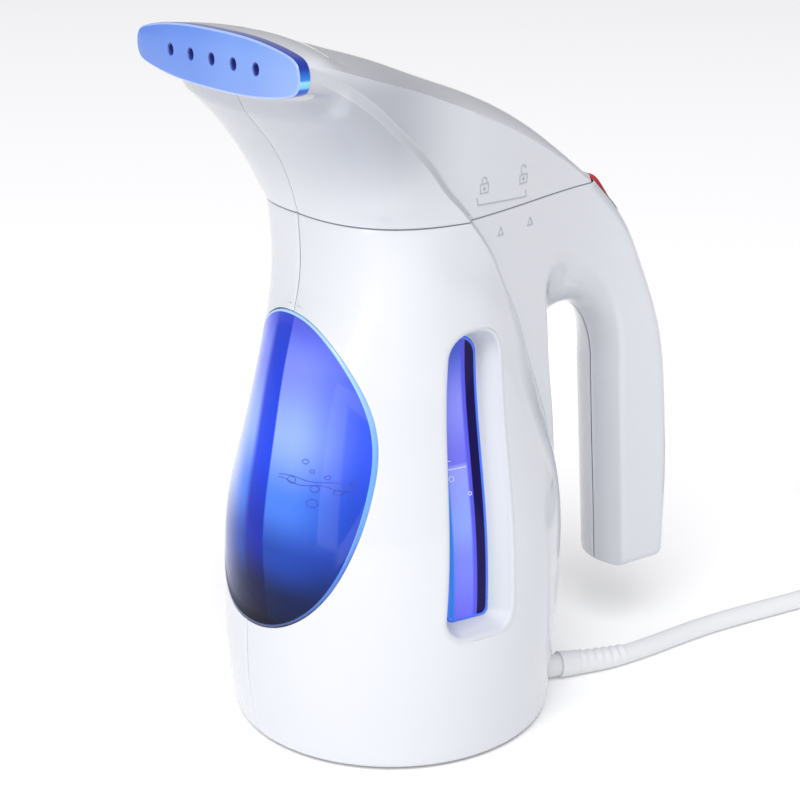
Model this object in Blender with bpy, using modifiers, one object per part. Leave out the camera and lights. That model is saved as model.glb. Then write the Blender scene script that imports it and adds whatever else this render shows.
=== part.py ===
"""Handheld garment steamer with a twist-off head, an open-ended grip and a water tank behind windows.

The barrel stands on +Z around the tank's axis. The nozzle points to -X and the grip is at +X.
Lengths are millimetres in this file; MM turns them into Blender's metres when a mesh is made.
Shapes are laid out around the barrel's own axis, and one empty moves them all so that the middle
of the whole steamer's box stands over the world origin.
"""
import math

import bmesh
import bpy
import numpy as np
from mathutils import Matrix, Vector

MM = 0.001

# ---------------------------------------------------------------- driving dimensions
BODY_X = -29.2              # the barrel's axis, seen from the middle of the steamer's box
SEAM_Z = 188.2              # plane between the body and the twist-off head
SEAM_GAP = 0.3              # clearance between them
RIM_Z = 1.0                 # lower rim of the housing
WALL = 2.6                  # wall of the housing and of the head
SPLIT = 0.15                # half the gap between left and right mouldings
FIT = 0.3                   # gap between pieces that touch
GRIP_BOTTOM_Z = 29.5        # closed lower end of the grip
GRIP_HALF_WIDTH = 13.5
CORNER_R = 5.0              # rounding along the back of the grip
GRIP_SCREWS = ((110.0, 62.0), (66.0, 174.0))    # x and z of the screws across the grip

# Barrel: height, centre x, half length (x), half width (y), squareness of the section
BARREL = [
    (0, 0.2, 57.8, 57.8, 2.0),
    (25, -0.4, 60.5, 60.5, 2.0),
    (50, 0.3, 61.2, 61.0, 2.0),
    (80, 1.4, 61.2, 57.8, 2.0),
    (110, 2.2, 55.1, 51.0, 2.0),
    (140, 1.5, 46.0, 45.2, 2.1),
    (165, -2.0, 35.2, 44.6, 2.3),
    (SEAM_Z, -5.0, 32.3, 45.0, 2.5),
]
# Half width of the fin that joins the head, the body and the grip, along x
FIN_HALF_WIDTH = [
    (-64, 53.0), (-40, 50.3), (-20, 46.6), (6.4, 40.3), (37.4, 29.4),
    (75, 16.5), (88, 14.2), (110, GRIP_HALF_WIDTH), (135, GRIP_HALF_WIDTH),
]
# Back of the fin and grip: height, x
FIN_BACK = [
    (27, 124.2), (50, 124.3), (75, 123.7), (87.5, 122.6), (109.5, 120.3),
    (125, 117.3), (139, 112.5), (155, 105.4), (174.5, 94.0), (SEAM_Z, 80.0),
]
# Where the fin leaves the barrel's side: height, x
RIDGE = [
    (27, 60.0), (62, 59.0), (82, 57.5), (104.6, 53.0), (115.9, 48.5), (133, 39.9),
    (151.2, 31.5), (163.3, 23.8), (174.9, 16.6), (SEAM_Z, 4.5),
]
# Head, in planes that turn about a line at FAN_X on the seam: angle, then the distance from
# that line to the throat, the ridge, the crown's edge and the crown's middle
FAN_X = -62.0
HEAD = [
    (0, 24.8, 66.5, 137.0, 143.5),
    (5, 24.4, 61.8, 120.2, 129.5),
    (10, 24.1, 58.2, 106.0, 117.8),
    (20, 24.1, 53.6, 86.0, 98.0),
    (30, 24.5, 50.5, 72.7, 82.6),
    (45, 26.1, 47.8, 61.4, 69.6),
    (60, 28.8, 48.3, 55.6, 62.9),
    (75, 33.3, 50.7, 54.1, 61.0),
    (90, 41.0, 55.2, 55.7, 61.3),
]
THROAT_SQUARENESS = 2.8
RIDGE_WIDTH, RIDGE_STEP = 2.5, 2.2      # the throat's rim stands proud of the fin's side

# Finger gap between the barrel and the grip
GAP_MIDDLE_X = 75.0
GAP_SPRING_Z = 112.0        # where the arch starts
GAP_ARCH = 29.0             # its height on the middle plane
GAP_FLARE = 25.0            # and what it gains towards the sides
GAP_FRONT = [(63, 62.8), (77, 62.3), (92, 60.0), (105.6, 58.5), (119, 56.3), (132, 54.0),
             (139, 52.8), (155, 48.5), (175, 46.0)]
GAP_REAR = [(27, 98.0), (48, 96.6), (77.6, 94.4), (GAP_SPRING_Z, 92.0)]

# Windows
LEAF_Z, LEAF_HALF_HEIGHT, LEAF_HALF_WIDTH, LEAF_SKEW = 100.8, 54.3, 42.0, 0.07
SLOT_TOP_Z, SLOT_BOTTOM_Z = 152.8, 47.2
SLOT_TOP_X, SLOT_BOTTOM_X = 3.2, -4.0
SLOT_TOP_HALF, SLOT_BOTTOM_HALF = 11.0, 14.2
SLOT_SLOPE = 4.5            # how far the slot's walls lean in
SLOT_DEPTH = 8.0            # from the barrel's skin to the level window

# Neck, bayonet and seal, turned about the neck's axis
NECK_X = -4.0
COLLAR_R, MOUTH_R = 28.6, 24.0
COLLAR_LOW_Z, COLLAR_TOP_Z = 164.0, SEAM_Z - 0.6
SPIGOT_R = 23.6
LUG_R, LUG_HALF_ANGLE, TWIST = 26.2, 9.0, 25.0

# Tank and heater
TANK_LOW_Z, TANK_TOP_Z, TANK_WALL = 34.0, COLLAR_LOW_Z - FIT, 1.8
TANK_INSET_X, TANK_INSET_Y = 3.6, 10.6
TANK_PORT_R = 25.0
TANK_WELD_Z = 95.0
PLATE_R = 31.0
SUPPORT_R = 35.0

# Nozzle plate
PLATE_FRONT_X, PLATE_BACK_X = -66.9, FAN_X - FIT
PLATE_HALF_WIDTH, PLATE_MIDDLE_Z = 53.2, 240.8
STEAM_HOLES_Y, STEAM_HOLE_R = (-28.0, -14.0, 0.0, 14.0, 28.0), 1.7

# Switch on the back of the fin, tilted to lie on its slope
SWITCH_Z, SWITCH_TILT = 178.5, 45.0
SWITCH_LENGTH, SWITCH_WIDTH = 22.4, 12.0
ROCKER_HINGE = 0.4          # height of its hinge over the slope
ROCKER_TILT = 6.0           # rest position, with the upper end standing out

# Mains lead
CORD_R = 3.65
GLAND_ANGLE, GLAND_HEADING, GLAND_Z, GLAND_OUT = -26.0, -13.0, 5.3, 15.0
CORD_ROUTE = [              # world metres, from the strain relief to the coil
    (0.0384, -0.0289, 0.0046), (0.0443, -0.0303, 0.0041), (0.0505, -0.0315, 0.0038),
    (0.0573, -0.0322, 0.0037), (0.0643, -0.0325, 0.0037), (0.0718, -0.0324, 0.0037),
    (0.0792, -0.0321, 0.0037), (0.0868, -0.0318, 0.0037), (0.0948, -0.0316, 0.0037),
    (0.1038, -0.0317, 0.0037), (0.1138, -0.0322, 0.0037), (0.1238, -0.0330, 0.0037),
    (0.1340, -0.0340, 0.0037), (0.1440, -0.0350, 0.0037), (0.1530, -0.0358, 0.0037),
    (0.1605, -0.0365, 0.0037), (0.1700, -0.0376, 0.0037), (0.1820, -0.0395, 0.0037),
    (0.1950, -0.0422, 0.0037), (0.2090, -0.0457, 0.0037), (0.2230, -0.0489, 0.0037),
    (0.2360, -0.0513, 0.0037), (0.2480, -0.0530, 0.0037),
]
COIL_X, COIL_Y, COIL_R, COIL_COLUMNS, COIL_ROWS = 280.0, -4.0, 40.0, 4, 2
COIL_LIFT = 1.0             # the tie passes under the coil
TIE_ANGLE = 110.0
PLUG_ANGLE, PLUG_GAP = -35.0, 29.5
# Plug and its neck: distance along it, half width, half height, squareness
PLUG_SECTIONS = [(0, 4.2, 4.2, 2.0), (22, 5.6, 5.2, 2.0), (24, 10, 8, 2.4), (30, 12.5, 9.5, 2.4),
                 (46, 14, 10.4, 2.4), (48, 13, 9.6, 2.4)]

NECK_PARTS = 36             # points around turned pieces
RING_POINTS = 40            # points around the barrel


# ---------------------------------------------------------------- curves
def spline(points):
    """A natural cubic spline y(x) through the points, held flat outside them."""
    x, y = np.array(points, float).T
    h = np.diff(x)
    matrix, slope = np.eye(len(x)), np.zeros(len(x))
    for i in range(1, len(x) - 1):
        matrix[i, i - 1:i + 2] = h[i - 1], 2 * (h[i - 1] + h[i]), h[i]
        slope[i] = 6 * ((y[i + 1] - y[i]) / h[i] - (y[i] - y[i - 1]) / h[i - 1])
    m = np.linalg.solve(matrix, slope)

    def value(t):
        t = min(max(t, x[0]), x[-1])
        i = min(int(np.searchsorted(x, t, side="right")) - 1, len(x) - 2)
        a, b = x[i + 1] - t, t - x[i]
        bend = (m[i] * a ** 3 + m[i + 1] * b ** 3) / (6 * h[i])
        return bend + (y[i] / h[i] - m[i] * h[i] / 6) * a + (y[i + 1] / h[i] - m[i + 1] * h[i] / 6) * b

    return value


def columns(table):
    """One spline for each column after the first."""
    return [spline([(row[0], row[k]) for row in table]) for k in range(1, len(table[0]))]


barrel_x, barrel_a, barrel_b, barrel_p = columns(BARREL)
fin_width = spline(FIN_HALF_WIDTH)
fin_back = spline(FIN_BACK)
ridge_x = spline(RIDGE)
gap_front, gap_rear = spline(GAP_FRONT), spline(GAP_REAR)
throat_r, ridge_r, edge_r, crown_r = columns(HEAD)


def power(value, exponent):
    return math.copysign(abs(value) ** exponent, value)


def superellipse(cx, cy, a, b, squareness, count):
    """Points around a superellipse, counter-clockwise seen from above."""
    turn = [2 * math.pi * k / count for k in range(count)]
    return [(cx + a * power(math.cos(t), 2 / squareness), cy + b * power(math.sin(t), 2 / squareness))
            for t in turn]


def span(start, stop, count):
    return [start + (stop - start) * k / (count - 1) for k in range(count)]


def mirrored(half):
    """Close a ring from its y >= 0 half, which starts and ends on the middle plane."""
    return half + [(x, -y, z) for x, y, z in reversed(half[1:-1])]


# ---------------------------------------------------------------- Blender helpers
def clear_scene():
    for obj in list(bpy.data.objects):
        bpy.data.objects.remove(obj, do_unlink=True)


clear_scene()
STEAMER = bpy.data.collections.new("steamer")
CUTTERS = bpy.data.collections.new("cutters")
bpy.context.scene.collection.children.link(STEAMER)
bpy.context.scene.collection.children.link(CUTTERS)
AXIS = bpy.data.objects.new("barrel_axis", None)
AXIS.location = (BODY_X * MM, 0, 0)
STEAMER.objects.link(AXIS)
NECK = bpy.data.objects.new("neck_axis", None)
NECK.location = (NECK_X * MM, 0, 0)
NECK.parent = AXIS
STEAMER.objects.link(NECK)


def material(name, color, roughness, metallic=0.0, transmission=0.0):
    made = bpy.data.materials.new(name)
    made.use_nodes = True
    shader = made.node_tree.nodes["Principled BSDF"]
    shader.inputs["Base Color"].default_value = (*color, 1)
    shader.inputs["Roughness"].default_value = roughness
    shader.inputs["Metallic"].default_value = metallic
    shader.inputs["Transmission Weight"].default_value = transmission
    made.diffuse_color = (*color, 1)
    return made


WHITE = (0.86, 0.87, 0.9)
BLUE = (0.05, 0.14, 0.85)
RUBBER = (0.03, 0.03, 0.032)
STEEL = (0.62, 0.62, 0.64)
SILICONE = (0.75, 0.74, 0.7)
BRASS = (0.75, 0.6, 0.3)


def add_object(name, mesh, look=None, parent=AXIS, collection=STEAMER):
    """Link a mesh that is laid out around the barrel's axis."""
    obj = bpy.data.objects.new(name, mesh)
    collection.objects.link(obj)
    if look:
        mesh.materials.clear()
        mesh.materials.append(material(name, *look))
    if parent:
        obj.parent = parent
    return obj


def from_bmesh(name, shape, look=None, smooth_angle=35, **place):
    """Turn a bmesh in millimetres into an object."""
    bmesh.ops.scale(shape, vec=(MM, MM, MM), verts=shape.verts)
    bmesh.ops.recalc_face_normals(shape, faces=shape.faces)
    mesh = bpy.data.meshes.new(name)
    shape.to_mesh(mesh)
    shape.free()
    mesh.shade_smooth()
    mesh.set_sharp_from_angle(angle=math.radians(smooth_angle))
    return add_object(name, mesh, look, **place)


def loft(name, rings, look=None, closed=False, **place):
    """Skin rings of equal length; the ends are capped, or joined to each other if closed."""
    shape = bmesh.new()
    rows = [[shape.verts.new(point) for point in ring] for ring in rings]
    pairs = list(zip(rows, rows[1:])) + ([(rows[-1], rows[0])] if closed else [])
    for low, high in pairs:
        for k in range(len(low)):
            nxt = (k + 1) % len(low)
            shape.faces.new((low[k], low[nxt], high[nxt], high[k]))
    if not closed:
        shape.faces.new(list(reversed(rows[0])))
        shape.faces.new(rows[-1])
    return from_bmesh(name, shape, look, **place)


def block(name, size, center=(0, 0, 0), rotation=None, look=None, **place):
    shape = bmesh.new()
    bmesh.ops.create_cube(shape, size=1.0)
    bmesh.ops.scale(shape, vec=size, verts=shape.verts)
    if rotation:
        bmesh.ops.transform(shape, matrix=rotation, verts=shape.verts)
    bmesh.ops.translate(shape, vec=center, verts=shape.verts)
    return from_bmesh(name, shape, look, **place)


def drum(name, radius, low, high, x=0.0, y=0.0, look=None, sides=32, turn=None, top_radius=None, **place):
    """A cylinder or cone along Z, or along the Z of the turn matrix."""
    shape = bmesh.new()
    bmesh.ops.create_cone(shape, cap_ends=True, segments=sides, radius1=radius,
                          radius2=radius if top_radius is None else top_radius, depth=high - low)
    bmesh.ops.translate(shape, vec=(0, 0, (low + high) / 2), verts=shape.verts)
    if turn:
        bmesh.ops.transform(shape, matrix=turn, verts=shape.verts)
    bmesh.ops.translate(shape, vec=(x, y, 0), verts=shape.verts)
    return from_bmesh(name, shape, look, **place)


def turned(name, profile, look, location=(0, 0, 0), steps=NECK_PARTS, rotation=(0, 0, 0), parent=AXIS):
    """A profile of (radius, height) in the XZ plane, turned by a Screw modifier."""
    on_axis = profile[0][0] == 0
    following = profile[1:] + profile[:1]
    if sum(r * end_z - end_r * z for (r, z), (end_r, end_z) in zip(profile, following)) > 0:
        profile = profile[::-1]                 # outer side runs from top to bottom
    mesh = bpy.data.meshes.new(name)
    points = [(r * MM, 0, z * MM) for r, z in profile]
    edges = [(k, (k + 1) % len(points)) for k in range(len(points))]
    mesh.from_pydata(points, edges[:-1] if on_axis else edges, [])
    obj = add_object(name, mesh, look, parent=parent)
    obj.location = [c * MM for c in location]
    obj.rotation_euler = rotation
    screw = obj.modifiers.new("turn", "SCREW")
    screw.steps = screw.render_steps = steps
    screw.use_merge_vertices = on_axis
    screw.merge_threshold = 0.00001
    screw.use_smooth_shade = True
    return obj


def freeze(obj):
    """Apply an object's modifiers to its mesh."""
    bpy.context.view_layer.update()
    seen = obj.evaluated_get(bpy.context.evaluated_depsgraph_get())
    mesh = bpy.data.meshes.new_from_object(seen)
    old, obj.data = obj.data, mesh
    obj.modifiers.clear()
    bpy.data.meshes.remove(old)
    return obj


def combine(obj, other, operation, keep=False):
    """Cut, join or intersect obj with other, and drop other unless it is kept."""
    step = obj.modifiers.new(operation.lower(), "BOOLEAN")
    step.operation = operation
    step.object = other
    step.solver = "EXACT"
    freeze(obj)
    if not keep:
        bpy.data.objects.remove(other, do_unlink=True)
    return obj


def cutter(obj):
    """Mark an object as a cutter."""
    for owner in list(obj.users_collection):
        owner.objects.unlink(obj)
    CUTTERS.objects.link(obj)
    obj.hide_render = True
    obj.display_type = "WIRE"
    return obj


def halves(whole, names, look):
    """Split a moulding at the middle plane into its left (-Y) and right (+Y) halves."""
    for name, side in zip(names, (-1, 1)):
        shape = bmesh.new()
        shape.from_mesh(whole.data)
        everything = shape.verts[:] + shape.edges[:] + shape.faces[:]
        bmesh.ops.bisect_plane(shape, geom=everything, plane_co=(0, side * SPLIT * MM, 0),
                               plane_no=(0, -side, 0), clear_outer=True)
        bmesh.ops.remove_doubles(shape, verts=shape.verts, dist=0.03 * MM)
        rim = [edge for edge in shape.edges if edge.is_boundary]
        bmesh.ops.triangle_fill(shape, edges=rim, use_beauty=True, normal=(0, -side, 0))
        bmesh.ops.scale(shape, vec=(1 / MM, 1 / MM, 1 / MM), verts=shape.verts)
        from_bmesh(name, shape, look)
    bpy.data.objects.remove(whole, do_unlink=True)


def hang_on_neck():
    """Move the origin of the head's pieces to the axis that the head turns about."""
    for name in ("head_left", "head_right", "nozzle_plate", "nozzle_gasket", "steam_duct"):
        obj = bpy.data.objects[name]
        obj.data.transform(Matrix.Translation((-NECK_X * MM, 0, 0)))
        obj.parent = NECK


# ---------------------------------------------------------------- forms of the two mouldings
def barrel_ring(z, inset=0.0, height=None, inset_y=None):
    """A section of the barrel, moved in by inset."""
    side = inset if inset_y is None else inset_y
    ring = superellipse(barrel_x(z), 0, barrel_a(z) - inset, barrel_b(z) - side, barrel_p(z), RING_POINTS)
    return [(x, y, z if height is None else height) for x, y in ring]


def barrel(name, low, high, inset=0.0, count=14, **place):
    return loft(name, [barrel_ring(z, inset) for z in span(low, high, count)], **place)


def fin_ring(z, inset=0.0, shrink=0.0):
    """A section of the fin and grip: flat sides, rounded back corners."""
    front, back = ridge_x(z) - 8 + inset, fin_back(z) - inset - shrink
    corner = CORNER_R - inset / 2
    half = [(front, 0, z), (front, fin_width(front) - 3 - inset - shrink, z)]
    for x in span(front + 4, back - corner, 6):
        half.append((x, fin_width(x) - inset - shrink, z))
    width = fin_width(back - corner) - inset - shrink
    for turn in (30, 60, 90):
        a = math.radians(turn)
        half.append((back - corner + corner * math.sin(a), width - corner + corner * math.cos(a), z))
    half.append((back + 1.0, 0, z))
    return mirrored(half)


def gap_outline(y, grow):
    """The finger gap's outline at one distance from the middle plane, as (x, z)."""
    side = abs(y) / 20
    arch = GAP_ARCH + GAP_FLARE * side ** 2.2 + grow
    flare = min(side, 1.3)
    points = [(45 - grow, -20), (45 - grow, 40), (56 - grow, 48), (62.8 - grow, 63)]
    for z in (80, 96):
        points.append((gap_front(z) - grow, z))
    for k in range(8):
        a = math.radians(90 * k / 7)
        z = GAP_SPRING_Z + arch * math.sin(a)
        start = gap_front(z) - 1.5 * flare ** 2 - grow
        points.append((GAP_MIDDLE_X - (GAP_MIDDLE_X - start) * math.cos(a) ** (1 - 0.35 * flare), z))
    rear = 4.5 * (side / 0.675) ** 2 + grow
    for k in range(1, 8):
        a = math.radians(90 * k / 7)
        reach = gap_rear(GAP_SPRING_Z) + rear - GAP_MIDDLE_X
        points.append((GAP_MIDDLE_X + reach * math.sin(a), GAP_SPRING_Z + arch * math.cos(a)))
    for z in (95, 78, 60, 45, 30, -20):
        points.append((gap_rear(z) + rear, z))
    return points


def gap_cutter(grow=0.0):
    stations = (-34, -24, -18, -13.5, -9, -4.5, 0, 4.5, 9, 13.5, 18, 24, 34)
    rings = [[(x, y, z) for x, z in gap_outline(y, grow)] for y in stations]
    return cutter(loft("finger_gap", rings))


def fin(name, high, inset=0.0):
    """The fin and the grip below the seam."""
    low = GRIP_BOTTOM_Z + inset
    rings = [fin_ring(low, inset, 2.5), fin_ring(low + 0.8, inset, 0.8), fin_ring(low + 3, inset)]
    rings += [fin_ring(z, inset) for z in span(low + 14, high, 12)]
    return combine(loft(name, rings), gap_cutter(inset), "DIFFERENCE")


def fan_point(angle, radius, y):
    """A point of the head, in its turning plane."""
    a = math.radians(angle)
    return FAN_X + radius * math.cos(a), y, SEAM_Z + radius * math.sin(a)


def head_ring(angle, inset=0.0):
    """One section of the head: throat, ridge, upright side and low crown."""
    front, top = throat_r(angle) + inset, crown_r(angle) - inset
    edge = edge_r(angle) - inset
    ridge = min(ridge_r(angle), edge - 0.4)
    back = ridge - RIDGE_WIDTH
    upright = math.cos(math.radians(angle))

    def width(radius):
        return fin_width(fan_point(angle, radius, 0)[0]) - inset

    half = []
    crest = width(back) + RIDGE_STEP * upright
    for k in range(10):
        t = math.radians(10 * k)
        radius = back - (back - front) * power(math.cos(t), 2 / THROAT_SQUARENESS)
        half.append(fan_point(angle, radius, crest * power(math.sin(t), 2 / THROAT_SQUARENESS)))
    for radius in span(ridge, edge, 4):
        half.append(fan_point(angle, radius, width(radius)))
    roundness = 1.0 - 0.35 * upright ** 8
    for share in (0.93, 0.8, 0.6, 0.4, 0.2, 0.0):
        lift = (1 - share ** 2) ** roundness
        half.append(fan_point(angle, edge + (top - edge) * lift, share * width(edge)))
    return mirrored(half)


def head_form(name, inset=0.0, stop=90):
    angles = [0, 3, 6, 10, 15, 21, 28, 36, 45, 54, 63, 72, 81, stop]
    return loft(name, [head_ring(a, inset) for a in angles])


# ---------------------------------------------------------------- windows
def leaf_cutter(inset=0.0, count=36):
    """A prism along X with the leaf outline."""
    outline = []
    for k in range(count):
        t = 2 * math.pi * k / count
        y = (LEAF_HALF_WIDTH - inset) * math.cos(t) * (1 - LEAF_SKEW * math.sin(t))
        outline.append((y, LEAF_Z + (LEAF_HALF_HEIGHT - inset) * math.sin(t)))
    return cutter(loft("leaf", [[(x, y, z) for y, z in outline] for x in (-90, -12)]))


def slot_outline(inset):
    """The slot's outline as (x, z): a tapered bar with round corners."""
    points = []
    corners = [(1, 1), (-1, 1), (-1, -1), (1, -1)]
    for quarter, (right, up) in enumerate(corners):
        z_mid, x_mid = (SLOT_TOP_Z, SLOT_TOP_X) if up > 0 else (SLOT_BOTTOM_Z, SLOT_BOTTOM_X)
        half = (SLOT_TOP_HALF if up > 0 else SLOT_BOTTOM_HALF) - inset
        radius = half * (0.85 if up > 0 else 0.6)
        cx, cz = x_mid + right * (half - radius), z_mid - up * (radius + inset)
        for k in range(6):
            a = math.radians(90 * quarter + 90 * k / 5)
            points.append((cx + radius * math.cos(a), cz + radius * math.sin(a)))
    return points


def slot_cutter(side, outer_inset, inner_inset):
    """A funnel along Y, wide at the skin and narrower at the level window."""
    rings = []
    for y, inset in ((80, outer_inset), (61, outer_inset), (40, inner_inset), (30, inner_inset)):
        rings.append([(x, side * y, z) for x, z in slot_outline(inset)])
    return cutter(loft("slot", rings))


def slot_boss(side):
    """The wall around the slot, between the barrel's skin and the level window."""
    boss = barrel("slot_boss", 40, 158, inset=0.5)
    combine(boss, cutter(barrel("boss_inside", 36, 162, inset=SLOT_DEPTH + 1.2)), "DIFFERENCE")
    return combine(boss, slot_cutter(side, -1.6, -1.6), "INTERSECT")


def make_windows():
    """The leaf lens at the front and the two level windows."""
    lens = barrel("front_window", 40, 162, inset=0.1, look=(BLUE, 0.08, 0.0, 0.8))
    combine(lens, cutter(barrel("lens_inside", 36, 166, inset=WALL)), "DIFFERENCE")
    combine(lens, leaf_cutter(FIT), "INTERSECT")
    for side, name in ((-1, "level_window_left"), (1, "level_window_right")):
        pane = barrel(name, 40, 162, inset=SLOT_DEPTH, look=(BLUE, 0.08, 0.0, 0.8))
        combine(pane, cutter(barrel("pane_inside", 36, 166, inset=SLOT_DEPTH + 1.6)), "DIFFERENCE")
        combine(pane, slot_cutter(side, SLOT_SLOPE + FIT, SLOT_SLOPE + FIT), "INTERSECT")


# ---------------------------------------------------------------- mouldings
def switch_frame():
    """Placement of the switch: local Z stands out of the slope and local X runs down it."""
    back = Vector((fin_back(SWITCH_Z) + 1.0, 0, SWITCH_Z))
    return Matrix.Translation(back) @ Matrix.Rotation(math.radians(SWITCH_TILT), 4, "Y")


def gland_frame():
    """Placement of the lead's exit: local Z points out along the lead."""
    a = math.radians(GLAND_ANGLE)
    reach = barrel_a(GLAND_Z) - WALL
    spot = Matrix.Translation((barrel_x(GLAND_Z) + reach * math.cos(a), reach * math.sin(a), GLAND_Z))
    heading = Matrix.Rotation(math.radians(GLAND_HEADING), 4, "Z")
    return spot @ heading @ Matrix.Rotation(math.radians(92), 4, "Y")


def across(x, z):
    """Placement along +Y through a point of the middle plane."""
    return Matrix.Translation((x, 0, z)) @ Matrix.Rotation(math.radians(-90), 4, "X")


def make_housing():
    top = SEAM_Z - SEAM_GAP / 2
    body = barrel("housing", RIM_Z, top)
    combine(body, fin("fin", top), "UNION")
    room = barrel("room", -5, top - WALL, inset=WALL, count=11)
    combine(room, fin("fin_room", top - WALL, WALL), "UNION")
    combine(body, cutter(room), "DIFFERENCE")
    for side in (-1, 1):
        combine(body, slot_boss(side), "UNION")
        combine(body, slot_cutter(side, 0, SLOT_SLOPE), "DIFFERENCE")
    combine(body, leaf_cutter(), "DIFFERENCE")
    neck_hole = drum("neck_hole", COLLAR_R + FIT, 150, 220, x=NECK_X, sides=NECK_PARTS)
    combine(body, cutter(neck_hole), "DIFFERENCE")
    for x, z in GRIP_SCREWS:
        width, turn = fin_width(x), across(x, z)
        combine(body, drum("boss", 4.6, -width + 1, width - 1, turn=turn, sides=16), "UNION")
        combine(body, cutter(drum("bore", 2.0, -9, 60, turn=turn, sides=16)), "DIFFERENCE")
        combine(body, cutter(drum("head_bore", 3.6, width - 3.5, 60, turn=turn, sides=16)), "DIFFERENCE")
    opening = block("switch_opening", (SWITCH_LENGTH - 1, SWITCH_WIDTH - 1, 40), rotation=switch_frame())
    combine(body, cutter(opening), "DIFFERENCE")
    combine(body, cutter(drum("gland_hole", 4.7, -20, 20, turn=gland_frame(), sides=24)), "DIFFERENCE")
    halves(body, ("housing_left", "housing_right"), (WHITE, 0.25))


def make_head():
    low = SEAM_Z + SEAM_GAP / 2
    head = head_form("head")
    room = head_form("head_room", WALL, stop=94)
    floor = cutter(block("floor", (400, 300, 100), (60, 0, low + WALL - 50)))
    combine(room, floor, "DIFFERENCE")
    combine(head, cutter(room), "DIFFERENCE")
    combine(head, cutter(block("seam", (400, 300, 100), (60, 0, low - 50))), "DIFFERENCE")
    spigot_hole = drum("spigot_hole", SPIGOT_R + FIT, 150, low + WALL + 1, x=NECK_X, sides=NECK_PARTS)
    combine(head, cutter(spigot_hole), "DIFFERENCE")
    halves(head, ("head_left", "head_right"), (WHITE, 0.25))


# ---------------------------------------------------------------- nozzle
def boat_ring(x, inset, count=44):
    """The outlet's outline: a boat with blunt ends, slightly fuller above than below."""
    ring = []
    for k in range(count):
        t = 2 * math.pi * k / count
        y = (PLATE_HALF_WIDTH - inset) * power(math.cos(t), 0.72)
        height = (9.5 if math.sin(t) > 0 else 9.6) - inset
        share = abs(y) / PLATE_HALF_WIDTH
        z = PLATE_MIDDLE_Z + height * power(math.sin(t), 0.72) * (1 - 0.12 * share)
        ring.append((x, y, z))
    return ring


def make_nozzle():
    plate = loft("nozzle_plate", [boat_ring(PLATE_FRONT_X, 0.8), boat_ring(PLATE_FRONT_X + 0.6, 0),
                                  boat_ring(PLATE_BACK_X, 0)], (BLUE, 0.3, 0.0, 0.3))
    for y in STEAM_HOLES_Y:
        turn = Matrix.Translation((PLATE_FRONT_X, y, PLATE_MIDDLE_Z)) @ Matrix.Rotation(math.pi / 2, 4, "Y")
        combine(plate, cutter(drum("steam_hole", STEAM_HOLE_R, -10, 20, turn=turn, sides=16)), "DIFFERENCE")
    outer, inner = WALL + 1.2, WALL + 2.6
    seat = [head_ring(angle, inset) for angle, inset in
            ((89, outer), (89, inner), (86, inner), (86, outer))]
    loft("nozzle_gasket", seat, (SILICONE, 0.7), closed=True)


def duct_ring(angle, inset):
    """The steam duct: round at the spigot, flat at the outlet."""
    share = angle / 88
    ease = share * share * (3 - 2 * share)
    radius = (NECK_X - FAN_X) * (1 - ease) + (throat_r(angle) + crown_r(angle)) / 2 * ease
    tall, wide = 17.5 * (1 - ease) + 4.5 * ease - inset, 17.5 * (1 - ease) + 40 * ease - inset
    points = superellipse(radius, 0, tall, wide, 2.2, 28)
    return [fan_point(angle, r, y) for r, y in points]


def make_duct():
    angles = (9, 17, 28, 40, 55, 70, 83)
    rings = [duct_ring(a, 0) for a in angles] + [duct_ring(a, 1.4) for a in reversed(angles)]
    loft("steam_duct", rings, (SILICONE, 0.5), closed=True)


# ---------------------------------------------------------------- neck
def make_neck():
    """Collar of the tank, spigot of the head and the O-ring between them."""
    collar = freeze(turned("tank_collar", [
        (MOUTH_R, COLLAR_TOP_Z), (MOUTH_R, COLLAR_LOW_Z),
        (COLLAR_R, COLLAR_LOW_Z), (COLLAR_R, COLLAR_TOP_Z),
    ], (BLUE, 0.2, 0.0, 0.6), (NECK_X, 0, 0)))
    for k in range(3):
        start, stop = k * 120 - LUG_HALF_ANGLE - 1.5, k * 120 + LUG_HALF_ANGLE + TWIST + 1.5
        pocket = arc_block("pocket", start, stop, MOUTH_R - 1, LUG_R + 0.5, 173.2, 200)
        combine(collar, cutter(pocket), "DIFFERENCE")
    low = SEAM_Z + SEAM_GAP / 2 + WALL + FIT
    spigot = freeze(turned("head_spigot", [
        (17.6, 168), (21.4, 168), (21.4, 171.4), (SPIGOT_R - 0.1, 171.4), (SPIGOT_R - 0.1, low),
        (28, low), (28, low + 2), (17.6, low + 2),
    ], (WHITE, 0.4), (NECK_X, 0, 0)))
    for k in range(3):
        start, stop = k * 120 - LUG_HALF_ANGLE, k * 120 + LUG_HALF_ANGLE
        combine(spigot, arc_block("lug", start, stop, 20, LUG_R, 174, 180), "UNION")
    ring = [(22.7 + 0.95 * math.cos(t), 169.8 + 0.95 * math.sin(t))
            for t in (2 * math.pi * k / 8 for k in range(8))]
    turned("tank_seal", ring, (RUBBER, 0.6), (NECK_X, 0, 0))


def arc_block(name, start, stop, inner, outer, low, high):
    """A piece of a ring around the neck, between two angles."""
    section = ((inner, low), (outer, low), (outer, high), (inner, high))
    rings = []
    for a in (math.radians(angle) for angle in span(start, stop, 7)):
        rings.append([(NECK_X + r * math.cos(a), r * math.sin(a), z) for r, z in section])
    return loft(name, rings)


# ---------------------------------------------------------------- tank and heater
def tank_ring(z, inset, height=None):
    """The tank follows the barrel and clears the slots at its sides."""
    return barrel_ring(z, TANK_INSET_X + inset, height, TANK_INSET_Y + inset)


def round_ring(radius, z, x=0.0):
    return [(px, py, z) for px, py in superellipse(x, 0, radius, radius, 2, RING_POINTS)]


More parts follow.
